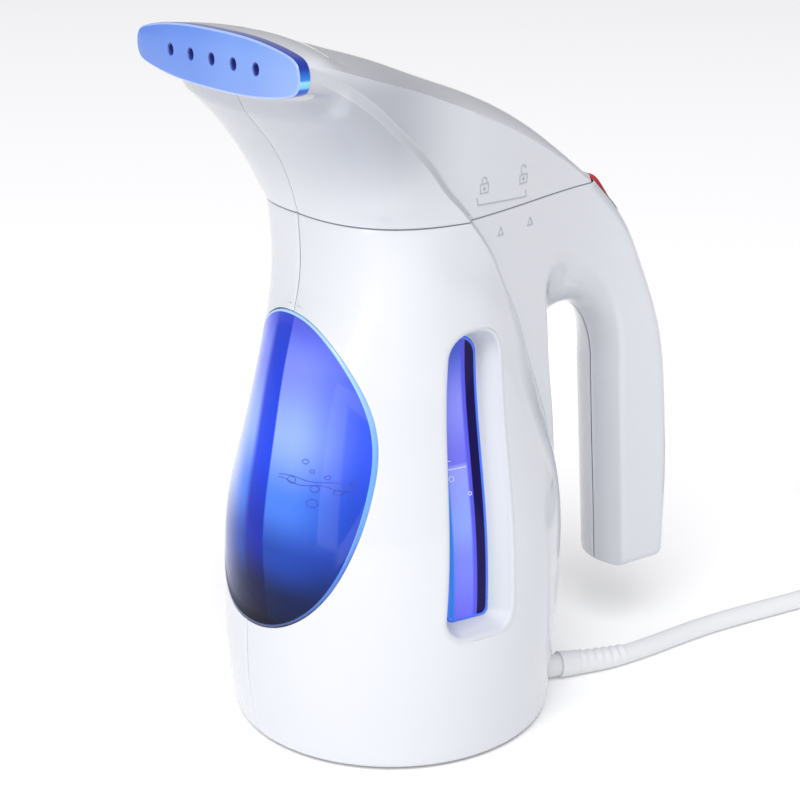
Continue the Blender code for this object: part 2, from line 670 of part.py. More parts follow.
def make_tank():
    """Two mouldings welded at half height. The base is open under its floor, and the dome at the neck."""
    look = (BLUE, 0.1, 0.0, 0.7)
    heights = span(TANK_LOW_Z + 3, TANK_WELD_Z - SPLIT, 4)
    rings = [round_ring(TANK_PORT_R, TANK_LOW_Z, 0), tank_ring(TANK_LOW_Z, 3)]
    rings += [tank_ring(z, 0) for z in heights]
    rings += [tank_ring(z, TANK_WALL) for z in reversed(heights)]
    rings += [round_ring(TANK_PORT_R, TANK_LOW_Z + TANK_WALL, 0)]
    loft("tank_base", rings, look, closed=True)
    heights = span(TANK_WELD_Z + SPLIT, 150, 4)
    rings = [tank_ring(z, 0) for z in heights]
    rings += [round_ring(COLLAR_R, TANK_TOP_Z, NECK_X), round_ring(MOUTH_R, TANK_TOP_Z, NECK_X)]
    rings += [tank_ring(z, TANK_WALL) for z in reversed(heights)]
    loft("tank_dome", rings, look, closed=True)


def make_heater():
    plate_top = TANK_LOW_Z - 1.8
    turned("plate_gasket", [(TANK_PORT_R + 1, plate_top + FIT), (PLATE_R - 1, plate_top + FIT),
                            (PLATE_R - 1, TANK_LOW_Z - FIT), (TANK_PORT_R + 1, TANK_LOW_Z - FIT)],
           (SILICONE, 0.7))
    disc = [(0, plate_top), (PLATE_R, plate_top), (PLATE_R, plate_top - 3), (0, plate_top - 3)]
    turned("heating_plate", disc, ((0.7, 0.7, 0.72), 0.35, 1.0))
    loop = [(22 + 3 * math.cos(t), plate_top - 6.4 + 3 * math.sin(t))
            for t in (2 * math.pi * k / 8 for k in range(8))]
    turned("heating_element", loop, (STEEL, 0.4, 1.0), steps=24)
    drum("thermostat", 8, plate_top - 11, plate_top - 3.4, look=(STEEL, 0.35, 1.0))
    lay = Matrix.Translation((0, 13.8, plate_top - 5.9)) @ Matrix.Rotation(math.pi / 2, 4, "Y")
    drum("thermal_fuse", 2.2, -7, 7, turn=lay, look=((0.8, 0.75, 0.6), 0.5), sides=16)
    low = RIM_Z + 2.6
    support = freeze(turned("heater_support", [
        (28, low), (SUPPORT_R + 5, low), (SUPPORT_R + 5, low + 12), (SUPPORT_R, plate_top - 3.3),
        (28, plate_top - 3.3),
    ], ((0.2, 0.2, 0.21), 0.6)))
    for x, y in screw_spots():
        combine(support, cutter(drum("bore", 2.1, low - 5, low + 12, x, y, sides=16)), "DIFFERENCE")


def screw_spots():
    """Three base screws on one circle."""
    return [(34 * math.cos(a), 34 * math.sin(a)) for a in (math.radians(60 + 120 * k) for k in range(3))]


def make_base():
    """Base cover, its screws and the rubber feet."""
    low, high = RIM_Z + FIT, RIM_Z + 2.3
    radius = barrel_a(low) - WALL - 0.4
    cover = freeze(turned("base_cover", [(0, high), (radius, high), (radius, low), (0, low)],
                          ((0.82, 0.83, 0.85), 0.5), (barrel_x(low), 0, 0)))
    for x, y in screw_spots():
        combine(cover, cutter(drum("bore", 2.2, -5, 10, x, y, sides=16)), "DIFFERENCE")
    combine(cover, cutter(drum("gland_hole", 5.8, -20, 20, turn=gland_frame(), sides=24)), "DIFFERENCE")
    for number, (x, y) in enumerate(screw_spots(), 1):
        turned(f"base_screw_{number}", [(0, low + 9), (1.8, low + 9), (1.8, low - 0.3), (3.4, low - 0.3),
                                        (3.4, low - 1.1), (0, low - 1.1)],
               (STEEL, 0.3, 1.0), (x, y, 0), steps=16)
    for number in range(3):
        a = math.radians(120 * number)
        turned(f"foot_{number + 1}", [(0, RIM_Z), (6.5, RIM_Z), (7, 0.3), (6.7, 0), (0, 0)],
               (RUBBER, 0.8), (44 * math.cos(a), 44 * math.sin(a), 0), steps=20)


def make_grip_screws():
    for name, (x, z) in zip(("grip_screw_lower", "grip_screw_upper"), GRIP_SCREWS):
        width = fin_width(x)
        turned(name, [(0, width - 1.2), (3.2, width - 1.2), (3.2, width - 3.2), (1.6, width - 3.2),
                      (1.6, -8.5), (0, -8.5)],
               (STEEL, 0.3, 1.0), (x, 0, z), steps=16, rotation=(math.radians(-90), 0, 0))


# ---------------------------------------------------------------- switch
def make_switch():
    """Bezel, body and rocker; the rocker's origin is on its hinge."""
    frame, long, wide = switch_frame(), SWITCH_LENGTH, SWITCH_WIDTH
    bezel = block("switch_bezel", (long, wide, 1.6), (0, 0, 1.1), look=(RUBBER, 0.4))
    opening = cutter(block("bezel_opening", (long - 2.2, wide - 2.2, 9)))
    combine(bezel, opening, "DIFFERENCE")
    body = block("switch_body", (long - 2, wide - 2, 9), (0, 0, -8.2), look=(RUBBER, 0.5))
    for obj in (bezel, body):
        obj.matrix_local = placement(frame)
    half, width = long / 2 - 1.9, wide / 2 - 1.6
    side = [(-half, -1.2), (half, -1.2), (half, 1.6), (half * 0.5, 1.9), (0, 1.4)]
    side += [(-half * 0.5, 1.9), (-half, 1.6)]
    rings = [[(x, y, z) for x, z in side] for y in (-width, width)]
    rocker = loft("switch_rocker", rings, ((0.6, 0.02, 0.03), 0.3))
    hinge = frame @ Matrix.Translation((0, 0, ROCKER_HINGE))
    rocker.matrix_local = placement(hinge @ Matrix.Rotation(math.radians(ROCKER_TILT), 4, "Y"))


def placement(frame):
    """A frame in millimetres as an object's matrix in metres."""
    placed = frame.copy()
    placed.translation *= MM
    return placed


# ---------------------------------------------------------------- mains lead
def make_gland():
    profile = [(0, -6), (5.1, -6), (5.1, -3.2), (4.4, -3.2), (4.4, 5), (3.9, WALL + GLAND_OUT),
               (0, WALL + GLAND_OUT)]
    gland = turned("strain_relief", profile, (WHITE, 0.5), steps=20)
    gland.matrix_local = placement(gland_frame())


def make_lead():
    """The stretch of the lead that lies on the table, from the strain relief to the coil."""
    curve = bpy.data.curves.new("mains_lead", "CURVE")
    curve.dimensions = "3D"
    curve.bevel_depth = CORD_R * MM
    curve.bevel_resolution = 3
    curve.use_fill_caps = True
    line = curve.splines.new("POLY")
    line.points.add(len(CORD_ROUTE) - 1)
    for point, place in zip(line.points, CORD_ROUTE):
        point.co = (*place, 1)
    curve.materials.append(material("mains_lead", (0.85, 0.86, 0.88), 0.45))
    STEAMER.objects.link(bpy.data.objects.new("mains_lead", curve))


def make_coil():
    """The rest of the lead as one ring, with its tie, the plug and the blades."""
    d = 2 * CORD_R
    half, low = COIL_COLUMNS * CORD_R, 0.3 + COIL_LIFT
    high = low + COIL_ROWS * d
    inner, outer = COIL_R - half, COIL_R + half
    turned("lead_coil", [(inner, high), (outer, high), (outer, low), (inner, low)],
           ((0.85, 0.86, 0.88), 0.45), (COIL_X, COIL_Y, 0), parent=None)
    wide, tall = 2 * half + 0.8, high - low + 0.8
    middle = (COIL_R, 0, (low + high) / 2)
    tie = block("lead_tie", (wide + 1.6, 8, tall + 1.6), middle, look=(RUBBER, 0.6), parent=None)
    inside = cutter(block("tie_inside", (wide, 20, tall), middle, parent=None))
    combine(tie, inside, "DIFFERENCE")
    spot = Matrix.Translation((COIL_X, COIL_Y, 0))
    tie.matrix_local = placement(spot @ Matrix.Rotation(math.radians(TIE_ANGLE), 4, "Z"))


def make_plug():
    """A two-blade plug that lies beside the coil, in line with the lead's last turn."""
    a = math.radians(PLUG_ANGLE)
    reach = COIL_R + 3 * CORD_R
    start = Vector((COIL_X + reach * math.cos(a), COIL_Y + reach * math.sin(a), 10.9))
    along = Matrix.Rotation(a, 4, "Z") @ Matrix.Rotation(math.radians(-90), 4, "X")
    frame = Matrix.Translation(start) @ along @ Matrix.Translation((0, 0, PLUG_GAP))
    rings = []
    for z, wide, tall, squareness in PLUG_SECTIONS:
        rings.append([(x, y, z) for x, y in superellipse(0, 0, wide, tall, squareness, 24)])
    plug = loft("plug", rings, (WHITE, 0.45), parent=None)
    plug.matrix_local = placement(frame)
    for name, side in (("plug_blade_1", -1), ("plug_blade_2", 1)):
        blade = block(name, (1.5, 6.3, 17), (side * 6.35, 0, 48.3 + 8.5),
                      look=(BRASS, 0.3, 1.0), parent=None)
        blade.matrix_local = placement(frame)


def main():
    make_housing()
    make_head()
    make_windows()
    make_nozzle()
    make_duct()
    make_neck()
    make_tank()
    make_heater()
    make_base()
    make_grip_screws()
    make_switch()
    make_gland()
    make_lead()
    make_coil()
    make_plug()
    hang_on_neck()


main()
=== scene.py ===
"""Looks of the handheld garment steamer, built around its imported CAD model.

Shapes are laid out in millimetres around the barrel's own axis, with the nozzle at -X, and are moved
into the frame's metres when a mesh is made. Both mouldings are symmetric, so each is built once on
the +Y side and mirrored.
"""
import math

import bmesh
import bpy
import numpy as np
from mathutils import Matrix, Vector


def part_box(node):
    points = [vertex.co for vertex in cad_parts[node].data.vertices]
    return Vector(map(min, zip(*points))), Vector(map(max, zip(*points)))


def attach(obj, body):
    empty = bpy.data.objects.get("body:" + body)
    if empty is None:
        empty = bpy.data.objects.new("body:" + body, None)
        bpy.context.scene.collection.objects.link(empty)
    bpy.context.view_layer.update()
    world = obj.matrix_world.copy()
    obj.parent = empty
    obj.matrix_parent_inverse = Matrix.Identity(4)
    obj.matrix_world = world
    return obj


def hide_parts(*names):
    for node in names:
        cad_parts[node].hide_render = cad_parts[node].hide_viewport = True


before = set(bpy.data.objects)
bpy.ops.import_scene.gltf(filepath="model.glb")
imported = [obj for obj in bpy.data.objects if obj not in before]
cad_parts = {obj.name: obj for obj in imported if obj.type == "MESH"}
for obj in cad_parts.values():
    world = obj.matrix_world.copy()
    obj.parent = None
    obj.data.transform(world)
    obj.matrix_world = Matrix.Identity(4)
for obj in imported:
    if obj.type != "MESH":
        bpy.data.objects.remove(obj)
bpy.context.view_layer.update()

MM = 0.001


def middle_x(node):
    low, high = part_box(node)
    return (low.x + high.x) / 2 / MM


# ---- places taken from the frame
BODY_X = middle_x("heating_plate")                  # the barrel's axis
NECK_X = middle_x("tank_collar") - BODY_X           # the neck's axis
BODY_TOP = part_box("housing_left")[1].z / MM
HEAD_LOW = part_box("head_left")[0].z / MM
SEAM_Z = (BODY_TOP + HEAD_LOW) / 2
RIM_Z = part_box("housing_left")[0].z / MM
SPLIT = -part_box("housing_left")[1].y / MM           # half the gap between left and right

# ---- driving dimensions of the forms
WALL = 2.2
# Barrel: height, centre x, half length (x), half width (y), squareness of the section
BARREL = [
    (0, 0.2, 57.8, 57.8, 2.0), (25, -0.4, 60.5, 60.5, 2.0), (50, 0.3, 61.2, 61.0, 2.0),
    (80, 1.4, 61.2, 57.8, 2.0), (110, 2.2, 55.1, 51.0, 2.0), (140, 1.5, 46.0, 45.2, 2.1),
    (165, -1.2, 36.0, 44.4, 2.35), (SEAM_Z, 2.0, 39.2, 43.5, 2.8),
]
# Half width of the fin that joins the head, the body and the grip, along x
FIN_HALF_WIDTH = [
    (-64, 53.0), (-40, 50.3), (-20, 46.6), (6.4, 40.3), (37.4, 29.4),
    (75, 16.5), (88, 14.2), (110, 13.5), (135, 13.5),
]
# Back of the fin and grip: height, x
FIN_BACK = [
    (27, 124.2), (50, 124.3), (75, 123.7), (87.5, 122.6), (109.5, 120.3),
    (125, 117.3), (139, 112.5), (155, 105.4), (174.5, 94.0), (SEAM_Z, 80.0),
]
# Where the fin leaves the barrel's side: height, x; and how far the barrel's crest stands proud there
RIDGE = [
    (27, 60.0), (62, 59.0), (82, 57.5), (104.6, 53.0), (115.9, 48.5), (133, 39.9),
    (151.2, 31.5), (163.3, 23.8), (174.9, 16.8), (SEAM_Z, 5.5),
]
CREST = [(40, 0.3), (75, 1.3), (110, 1.7), (150, 2.0), (SEAM_Z, 2.2)]
CREST_WIDTH = 4.0
# Columns of the barrel's skin: before, across and behind the slot
FRONT_STEPS, SLOT_STEPS, REAR_STEPS = 44, 12, 34
# Short wall from the crest to the fin: shares of its width, and of its fall
WALL_STEPS, WALL_FALL = (0.05, 0.12, 0.3, 0.7, 0.9, 1.0), (0.006, 0.05, 0.25, 0.78, 0.97, 1.0)
# Head, in planes that turn about a line at FAN_X on the seam: angle, then the distance from
# that line to the throat, the ridge, the crown's edge and the crown's middle
FAN_X = -62.0
HEAD = [
    (0, 24.8, 67.5, 137.0, 143.5), (5, 24.4, 62.6, 120.2, 129.5), (10, 24.1, 58.2, 106.0, 117.8),
    (20, 24.1, 53.6, 86.0, 98.0), (30, 24.5, 50.5, 72.7, 82.6), (45, 26.1, 47.8, 61.4, 69.6),
    (60, 28.8, 48.3, 55.6, 62.9), (75, 33.3, 50.7, 54.1, 61.0), (90, 41.0, 55.2, 55.7, 61.3),
]
THROAT_SQUARENESS = 2.8
# Finger gap: its front and rear walls as height, x
GAP_MIDDLE_X, GAP_SPRING_Z, GAP_ARCH, GAP_FLARE = 75.0, 112.0, 29.0, 25.0
GAP_FRONT = [(20, 45.0), (40, 48.0), (52, 58.5), (63, 62.8), (77, 62.3), (92, 60.0), (105.6, 58.5),
             (119, 56.3), (132, 54.0), (139, 52.8), (155, 48.5), (175, 46.0)]
GAP_REAR = [(27, 98.0), (48, 96.6), (77.6, 94.4), (GAP_SPRING_Z, 92.0)]
GRIP_LOW = 29.5
# Windows. The slot is a tapered bar, as height, x and half width at its top and at its foot.
LEAF_Z, LEAF_HALF_HEIGHT, LEAF_HALF_WIDTH, LEAF_SKEW = 100.8, 54.3, 41.0, 0.09
LEAF_POWER, LENS_POINTS = 2.25, 192
SLOT_SKIN = ((151.0, 4.2, 10.6), (49.5, -3.2, 12.8))
SLOT_PANE = ((148.6, 1.9, 8.4), (52.0, -3.6, 8.7))
SLOT_DEPTH = 8.0
# Steam plate
PLATE_X, PLATE_BACK_X = -66.9, -63.0
PLATE_HALF, PLATE_Z = 53.2, 240.8


# ---- curves
def spline(points):
    """A natural cubic spline y(x) through the points, held flat outside them; takes arrays."""
    x, y = np.array(points, float).T
    h = np.diff(x)
    matrix, slope = np.eye(len(x)), np.zeros(len(x))
    for i in range(1, len(x) - 1):
        matrix[i, i - 1:i + 2] = h[i - 1], 2 * (h[i - 1] + h[i]), h[i]
        slope[i] = 6 * ((y[i + 1] - y[i]) / h[i] - (y[i] - y[i - 1]) / h[i - 1])
    m = np.linalg.solve(matrix, slope)

    def value(t):
        t = np.clip(t, x[0], x[-1])
        i = np.clip(np.searchsorted(x, t, side="right") - 1, 0, len(x) - 2)
        a, b = x[i + 1] - t, t - x[i]
        bend = (m[i] * a ** 3 + m[i + 1] * b ** 3) / (6 * h[i])
        return bend + (y[i] / h[i] - m[i] * h[i] / 6) * a + (y[i + 1] / h[i] - m[i + 1] * h[i] / 6) * b

    return value


def columns(table):
    """One spline for each column after the first."""
    return [spline([(row[0], row[k]) for row in table]) for k in range(1, len(table[0]))]


barrel_x, barrel_a, barrel_b, barrel_p = columns(BARREL)
throat_r, ridge_r, edge_r, crown_r = columns(HEAD)
fin_width, fin_back, ridge_line, crest_step = map(spline, (FIN_HALF_WIDTH, FIN_BACK, RIDGE, CREST))
gap_front, gap_rear = spline(GAP_FRONT), spline(GAP_REAR)


def smooth(low, high, value):
    """From 0 at low to 1 at high, with flat ends."""
    t = np.clip((value - low) / (high - low), 0, 1)
    return t * t * (3 - 2 * t)


def around(count):
    """Angles of a full turn, without the last one."""
    return np.linspace(0, 2 * math.pi, count, endpoint=False)


def signed(value, exponent):
    """A power that keeps the sign."""
    return np.sign(value) * np.abs(value) ** exponent


# ---- meshes
def grid(rows, closed=False):
    """Vertices and quads of a lattice of rows of points."""
    rows = np.array(rows, float)
    count, width = rows.shape[:2]
    faces = []
    for i in range(count - 1):
        for k in range(width if closed else width - 1):
            nxt = (k + 1) % width
            faces.append((i * width + k, i * width + nxt, (i + 1) * width + nxt, (i + 1) * width + k))
    return rows.reshape(-1, 3), faces


def gather(patches):
    """One bmesh of several (vertices, faces) patches, welded where they meet."""
    shape = bmesh.new()
    for verts, faces in patches:
        made = [shape.verts.new(v) for v in verts]
        for face in faces:
            shape.faces.new([made[k] for k in face])
    shape.faces.index_update()
    bmesh.ops.remove_doubles(shape, verts=shape.verts, dist=0.02)
    bmesh.ops.dissolve_degenerate(shape, edges=shape.edges, dist=0.005)
    return shape


def thicken(shape, wall):
    """Give an open surface an inner face, and close its rims."""
    shape.normal_update()
    inner = {v: shape.verts.new(v.co - v.normal * wall) for v in list(shape.verts)}
    outside = list(shape.faces)
    for edge in [e for e in shape.edges if e.is_boundary]:
        loop = edge.link_loops[0]
        a, b = loop.vert, loop.link_loop_next.vert
        shape.faces.new((b, a, inner[a], inner[b]))
    for face in outside:
        shape.faces.new([inner[v] for v in reversed(face.verts)])
    return shape


def piece(name, shape, look, body, slot, replaces=(), sharp=35, world=False, mirror=False):
    """Turn a bmesh in millimetres into a finished piece that rides on a body."""
    if mirror:
        bmesh.ops.scale(shape, vec=(1, -1, 1), verts=shape.verts)
        bmesh.ops.reverse_faces(shape, faces=shape.faces)
    if not world:
        bmesh.ops.translate(shape, vec=(BODY_X, 0, 0), verts=shape.verts)
    bmesh.ops.scale(shape, vec=(MM, MM, MM), verts=shape.verts)
    mesh = bpy.data.meshes.new(name)
    shape.to_mesh(mesh)
    shape.free()
    mesh.shade_smooth()
    mesh.set_sharp_from_angle(angle=math.radians(sharp))
    obj = bpy.data.objects.new(name, mesh)
    bpy.context.scene.collection.objects.link(obj)
    for one in (look if isinstance(look, (list, tuple)) else [look]):
        mesh.materials.append(one)
    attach(obj, body)
    if replaces:
        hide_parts(*replaces)
    return obj


def both_sides(names, build, **facts):
    """The right piece as built, and the left one as its mirror image. names are (left, right)."""
    for name, mirror in zip(names, (True, False)):
        piece(name, build(), mirror=mirror, replaces=(name.split(".")[0],), **facts)


# ---- level-set surfaces for the fin and grip
def round_max(a, b, radius):
    """Intersection of two fields with a rounded edge."""
    return np.minimum(-radius, np.maximum(a, b)) + np.hypot(np.maximum(radius + a, 0),
                                                            np.maximum(radius + b, 0))


def gap_field(x, y, z):
    """Below zero in the finger gap."""
    side = np.abs(y) / 20
    flare = np.minimum(side, 1.3)
    front = GAP_MIDDLE_X - gap_front(z) + 1.5 * flare ** 2
    rear = gap_rear(z) + 4.5 * np.minimum(side / 0.675, 1.5) ** 2 - GAP_MIDDLE_X
    u = (x - GAP_MIDDLE_X) / np.where(x < GAP_MIDDLE_X, front, rear)
    v = np.maximum(z - GAP_SPRING_Z, 0) / (GAP_ARCH + GAP_FLARE * side ** 2.2)
    reach = np.where(x < GAP_MIDDLE_X, front, rear)
    power = 2 + 0.5 * flare
    return ((np.abs(u) ** power + v ** power) ** (1 / power) - 1) * reach


def fin_field(x, y, z):
    """Below zero inside the fin and grip."""
    back = fin_back(z)
    slope = (fin_back(z + 1) - fin_back(z - 1)) / 2
    side = np.abs(y) - fin_width(x)
    rear = (x - back - (1 - (y / 14) ** 2)) / np.hypot(1, slope)
    form = round_max(side, rear, 5.0)
    form = round_max(form, GRIP_LOW - z, 3.5)
    form = round_max(form, -gap_field(x, y, z), 1.2)
    return np.maximum(form, ridge_line(z) - 5 - x)


def net(field, low, high, step):
    """Surface of a field's zero level as vertices and quads, relaxed and drawn onto it."""
    axes = [np.arange(a, b + step, step) for a, b in zip(low, high)]
    value = field(*np.meshgrid(*axes, indexing="ij"))
    inside = value < 0
    corners = [inside[i:i + inside.shape[0] - 1, j:j + inside.shape[1] - 1, k:k + inside.shape[2] - 1]
               for i in (0, 1) for j in (0, 1) for k in (0, 1)]
    total = sum(c.astype(int) for c in corners)
    mixed = (total > 0) & (total < 8)
    index = np.full(mixed.shape, -1)
    index[mixed] = np.arange(mixed.sum())
    verts = np.argwhere(mixed) * step + np.array(low) + step / 2
    faces = []
    for axis in range(3):
        first, second = [np.moveaxis(inside, axis, 0)[s] for s in (slice(0, -1), slice(1, None))]
        order = [axis] + [a for a in range(3) if a != axis]
        turned = np.transpose(index, order)
        crossing = np.argwhere((first != second)[:, 1:-1, 1:-1])
        i, j, k = crossing.T
        quads = np.stack([turned[i, j, k], turned[i, j + 1, k],
                          turned[i, j + 1, k + 1], turned[i, j, k + 1]], 1)
        flip = first[i, j + 1, k + 1]
        if axis == 1:
            flip = ~flip
        quads[~flip] = quads[~flip][:, ::-1]
        faces.append(quads)
    faces = np.concatenate(faces)
    for turn in range(5):
        verts = relax(verts, faces) if turn < 3 else verts
        verts = draw_onto(field, verts)
    return verts, faces


def relax(verts, faces):
    """Move each vertex halfway to the mean of its neighbours."""
    pairs = np.concatenate([faces[:, [k, (k + 1) % 4]] for k in range(4)])
    pairs = np.concatenate([pairs, pairs[:, ::-1]])
    count = np.bincount(pairs[:, 0], minlength=len(verts)).clip(1)
    mean = np.stack([np.bincount(pairs[:, 0], verts[pairs[:, 1], k], len(verts)) / count
                     for k in range(3)], 1)
    return verts * 0.5 + mean * 0.5


def gradient(field, verts, reach=0.05):
    steps = np.eye(3) * reach
    return np.stack([(field(*(verts + s).T) - field(*(verts - s).T)) / (2 * reach) for s in steps], 1)


def draw_onto(field, verts):
    slope = gradient(field, verts)
    size = (slope ** 2).sum(1).clip(0.05)
    move = slope * (field(*verts.T) / size)[:, None]
    length = np.linalg.norm(move, axis=1).clip(1e-9)
    return verts - move * np.minimum(1, 1.0 / length)[:, None]


# ---- materials
class Look:
    """A Principled material, with a few short ways to colour it by position. Positions are metres."""

    def __init__(self, name, color, roughness, **sockets):
        self.mat = bpy.data.materials.new(name)
        self.mat.use_nodes = True
        self.nodes, self.links = self.mat.node_tree.nodes, self.mat.node_tree.links
        self.bsdf = self.nodes["Principled BSDF"]
        self.bsdf.inputs["Base Color"].default_value = (*color, 1)
        self.bsdf.inputs["Roughness"].default_value = roughness
        for key, value in sockets.items():
            self.bsdf.inputs[key.replace("_", " ")].default_value = value
        self.mat.diffuse_color = (*color, 1)
        self.place = None

    def position(self, axis):
        if self.place is None:
            coord = self.nodes.new("ShaderNodeTexCoord")
            self.place = self.nodes.new("ShaderNodeSeparateXYZ")
            self.links.new(coord.outputs["Object"], self.place.inputs[0])
        return self.place.outputs["XYZ".index(axis)]

    def math(self, operation, *values, clamp=False):
        node = self.nodes.new("ShaderNodeMath")
        node.operation, node.use_clamp = operation, clamp
        for socket, value in zip(node.inputs, values):
            self.put(socket, value)
        return node.outputs[0]

    def put(self, socket, value):
        if isinstance(value, bpy.types.NodeSocket):
            self.links.new(value, socket)
        elif isinstance(value, tuple):
            socket.default_value = (*value, 1)
        else:
            socket.default_value = value

    def step(self, value, low, high):
        """0 below low, 1 above high."""
        node = self.nodes.new("ShaderNodeMapRange")
        node.interpolation_type = "SMOOTHSTEP"
        self.put(node.inputs["Value"], value)
        node.inputs["From Min"].default_value, node.inputs["From Max"].default_value = low, high
        return node.outputs[0]

    def ramp(self, value, stops):
        """Colours at values in metres, blended in between."""
        low, high = stops[0][0], stops[-1][0]
        scaled = self.nodes.new("ShaderNodeMapRange")
        self.put(scaled.inputs["Value"], value)
        scaled.inputs["From Min"].default_value, scaled.inputs["From Max"].default_value = low, high
        node = self.nodes.new("ShaderNodeValToRGB")
        self.links.new(scaled.outputs[0], node.inputs[0])
        node.color_ramp.interpolation = "EASE"
        while len(node.color_ramp.elements) < len(stops):
            node.color_ramp.elements.new(0.5)
        for element, (where, color) in zip(node.color_ramp.elements, stops):
            element.position = (where - low) / (high - low)
            element.color = (*color, 1)
        return node.outputs[0]

    def mix(self, factor, first, second):
        node = self.nodes.new("ShaderNodeMix")
        node.data_type = "RGBA"
        self.put(node.inputs[0], factor)
        self.put(node.inputs[6], first)
        self.put(node.inputs[7], second)
        return node.outputs[2]

    def color(self, socket):
        self.links.new(socket, self.bsdf.inputs["Base Color"])
        return self

    def grain(self, scale=900, strength=0.05, depth=0.0001):
        """Fine texture of a moulded, cast or drawn surface."""
        coord = self.nodes.new("ShaderNodeTexCoord")
        noise, bump = self.nodes.new("ShaderNodeTexNoise"), self.nodes.new("ShaderNodeBump")
        noise.inputs["Scale"].default_value = scale
        bump.inputs["Strength"].default_value, bump.inputs["Distance"].default_value = strength, depth
        self.links.new(coord.outputs["Object"], noise.inputs["Vector"])
        self.links.new(noise.outputs[0], bump.inputs["Height"])
        self.links.new(bump.outputs[0], self.bsdf.inputs["Normal"])
        return self


def make_looks():
    looks = {
        "white": white_look(),
        # painted shade: the short wall behind the crest in a darker grey copy of the white plastic
        "crest": Look("crest_wall_painted_shade", (0.52, 0.54, 0.58), 0.3, Coat_Weight=0.5,
                      Coat_Roughness=0.05).grain(1200, 0.01),
        "white_inner": Look("white_inner", (0.72, 0.73, 0.76), 0.45).grain(),
        # painted shade: the slot's funnel in a darker grey copy of the white plastic, for the shade in the
        # recess
        "slot": Look("slot_wall_painted_shade", (0.60, 0.62, 0.66), 0.3).grain(1200, 0.02),
        "mark": Look("grey_mark", (0.42, 0.44, 0.48), 0.4).grain(),
        # painted shade: a dark sheet that stands for the shade in the seam's gap
        "seam_painted_shade": Look("seam_painted_shade", (0.16, 0.17, 0.20), 0.6).grain(),
        "silicone": Look("silicone", (0.55, 0.56, 0.58), 0.5).grain(),
        "rubber": Look("black_rubber", (0.02, 0.02, 0.022), 0.65).grain(500, 0.2),
        "black": Look("black_plastic", (0.015, 0.015, 0.018), 0.3).grain(),
        "red": Look("red_rocker", (0.42, 0.004, 0.012), 0.12, Coat_Weight=0.6, Coat_Roughness=0.05,
                    Subsurface_Weight=0.15, Subsurface_Scale=0.003).grain(1200, 0.02),
        "aluminium": Look("cast_aluminium", (0.55, 0.56, 0.57), 0.45, Metallic=1.0).grain(400, 0.3),
        "steel": Look("steel", (0.6, 0.6, 0.62), 0.25, Metallic=1.0).grain(700, 0.1),
        "ceramic": Look("ceramic", (0.75, 0.72, 0.66), 0.5).grain(),
        "cord": Look("white_cord", (0.74, 0.75, 0.77), 0.42).grain(900, 0.06),
        "brass": Look("brass", (0.72, 0.52, 0.22), 0.25, Metallic=1.0).grain(700, 0.1),
        "water_line": Look("water_line", (0.05, 0.09, 0.50), 0.2).grain(),
        "white_line": Look("white_line", (0.75, 0.8, 0.95), 0.4).grain(),
    }
    looks["lens"] = lens_look()
    looks["lens_rim"] = rim_look()
    looks["tank"] = tank_look()
    looks["pane"] = pane_look()
    looks["pane_rim"] = Look("blue_pane_rim", (0.03, 0.16, 0.95), 0.08, Coat_Weight=0.6).grain(1200, 0.01)
    looks["nozzle"] = nozzle_look()
    looks["nozzle_edge"] = edge_look()
    # painted highlight: the face's chamfered outline in a lighter blue
    looks["nozzle_outline_painted_highlight"] = Look("nozzle_outline_painted_highlight", (0.30, 0.42, 0.78), 0.15, Coat_Weight=0.5).grain(1200, 0.02)
    # painted shade: the walls of the steam holes in a dark blue for the shade inside them
    looks["hole"] = Look("steam_hole", (0.03, 0.05, 0.30), 0.3).grain()
    return {key: value.mat for key, value in looks.items()}


def white_look():
    """White plastic under a clear gloss, with painted shade that greys it under the steam plate's overhang.
    """
    look = Look("white_shell", (0.82, 0.825, 0.84), 0.25, Coat_Weight=1.0, Coat_Roughness=0.04, Coat_IOR=1.5)
    look.bsdf.inputs["Coat Tint"].default_value = (0.82, 0.83, 0.86, 1)
    # painted shade: a little greyer under the overhang of the steam plate
    height, along = look.position("Z"), look.position("X")
    under = look.math("MULTIPLY", look.step(height, 0.186, 0.222), look.step(height, 0.247, 0.232))
    under = look.math("MULTIPLY", under, look.step(along, BODY_X * MM + 0.006, BODY_X * MM - 0.034))
    look.color(look.mix(under, (0.82, 0.825, 0.84), (0.50, 0.515, 0.55)))
    return look.grain(1200, 0.01)


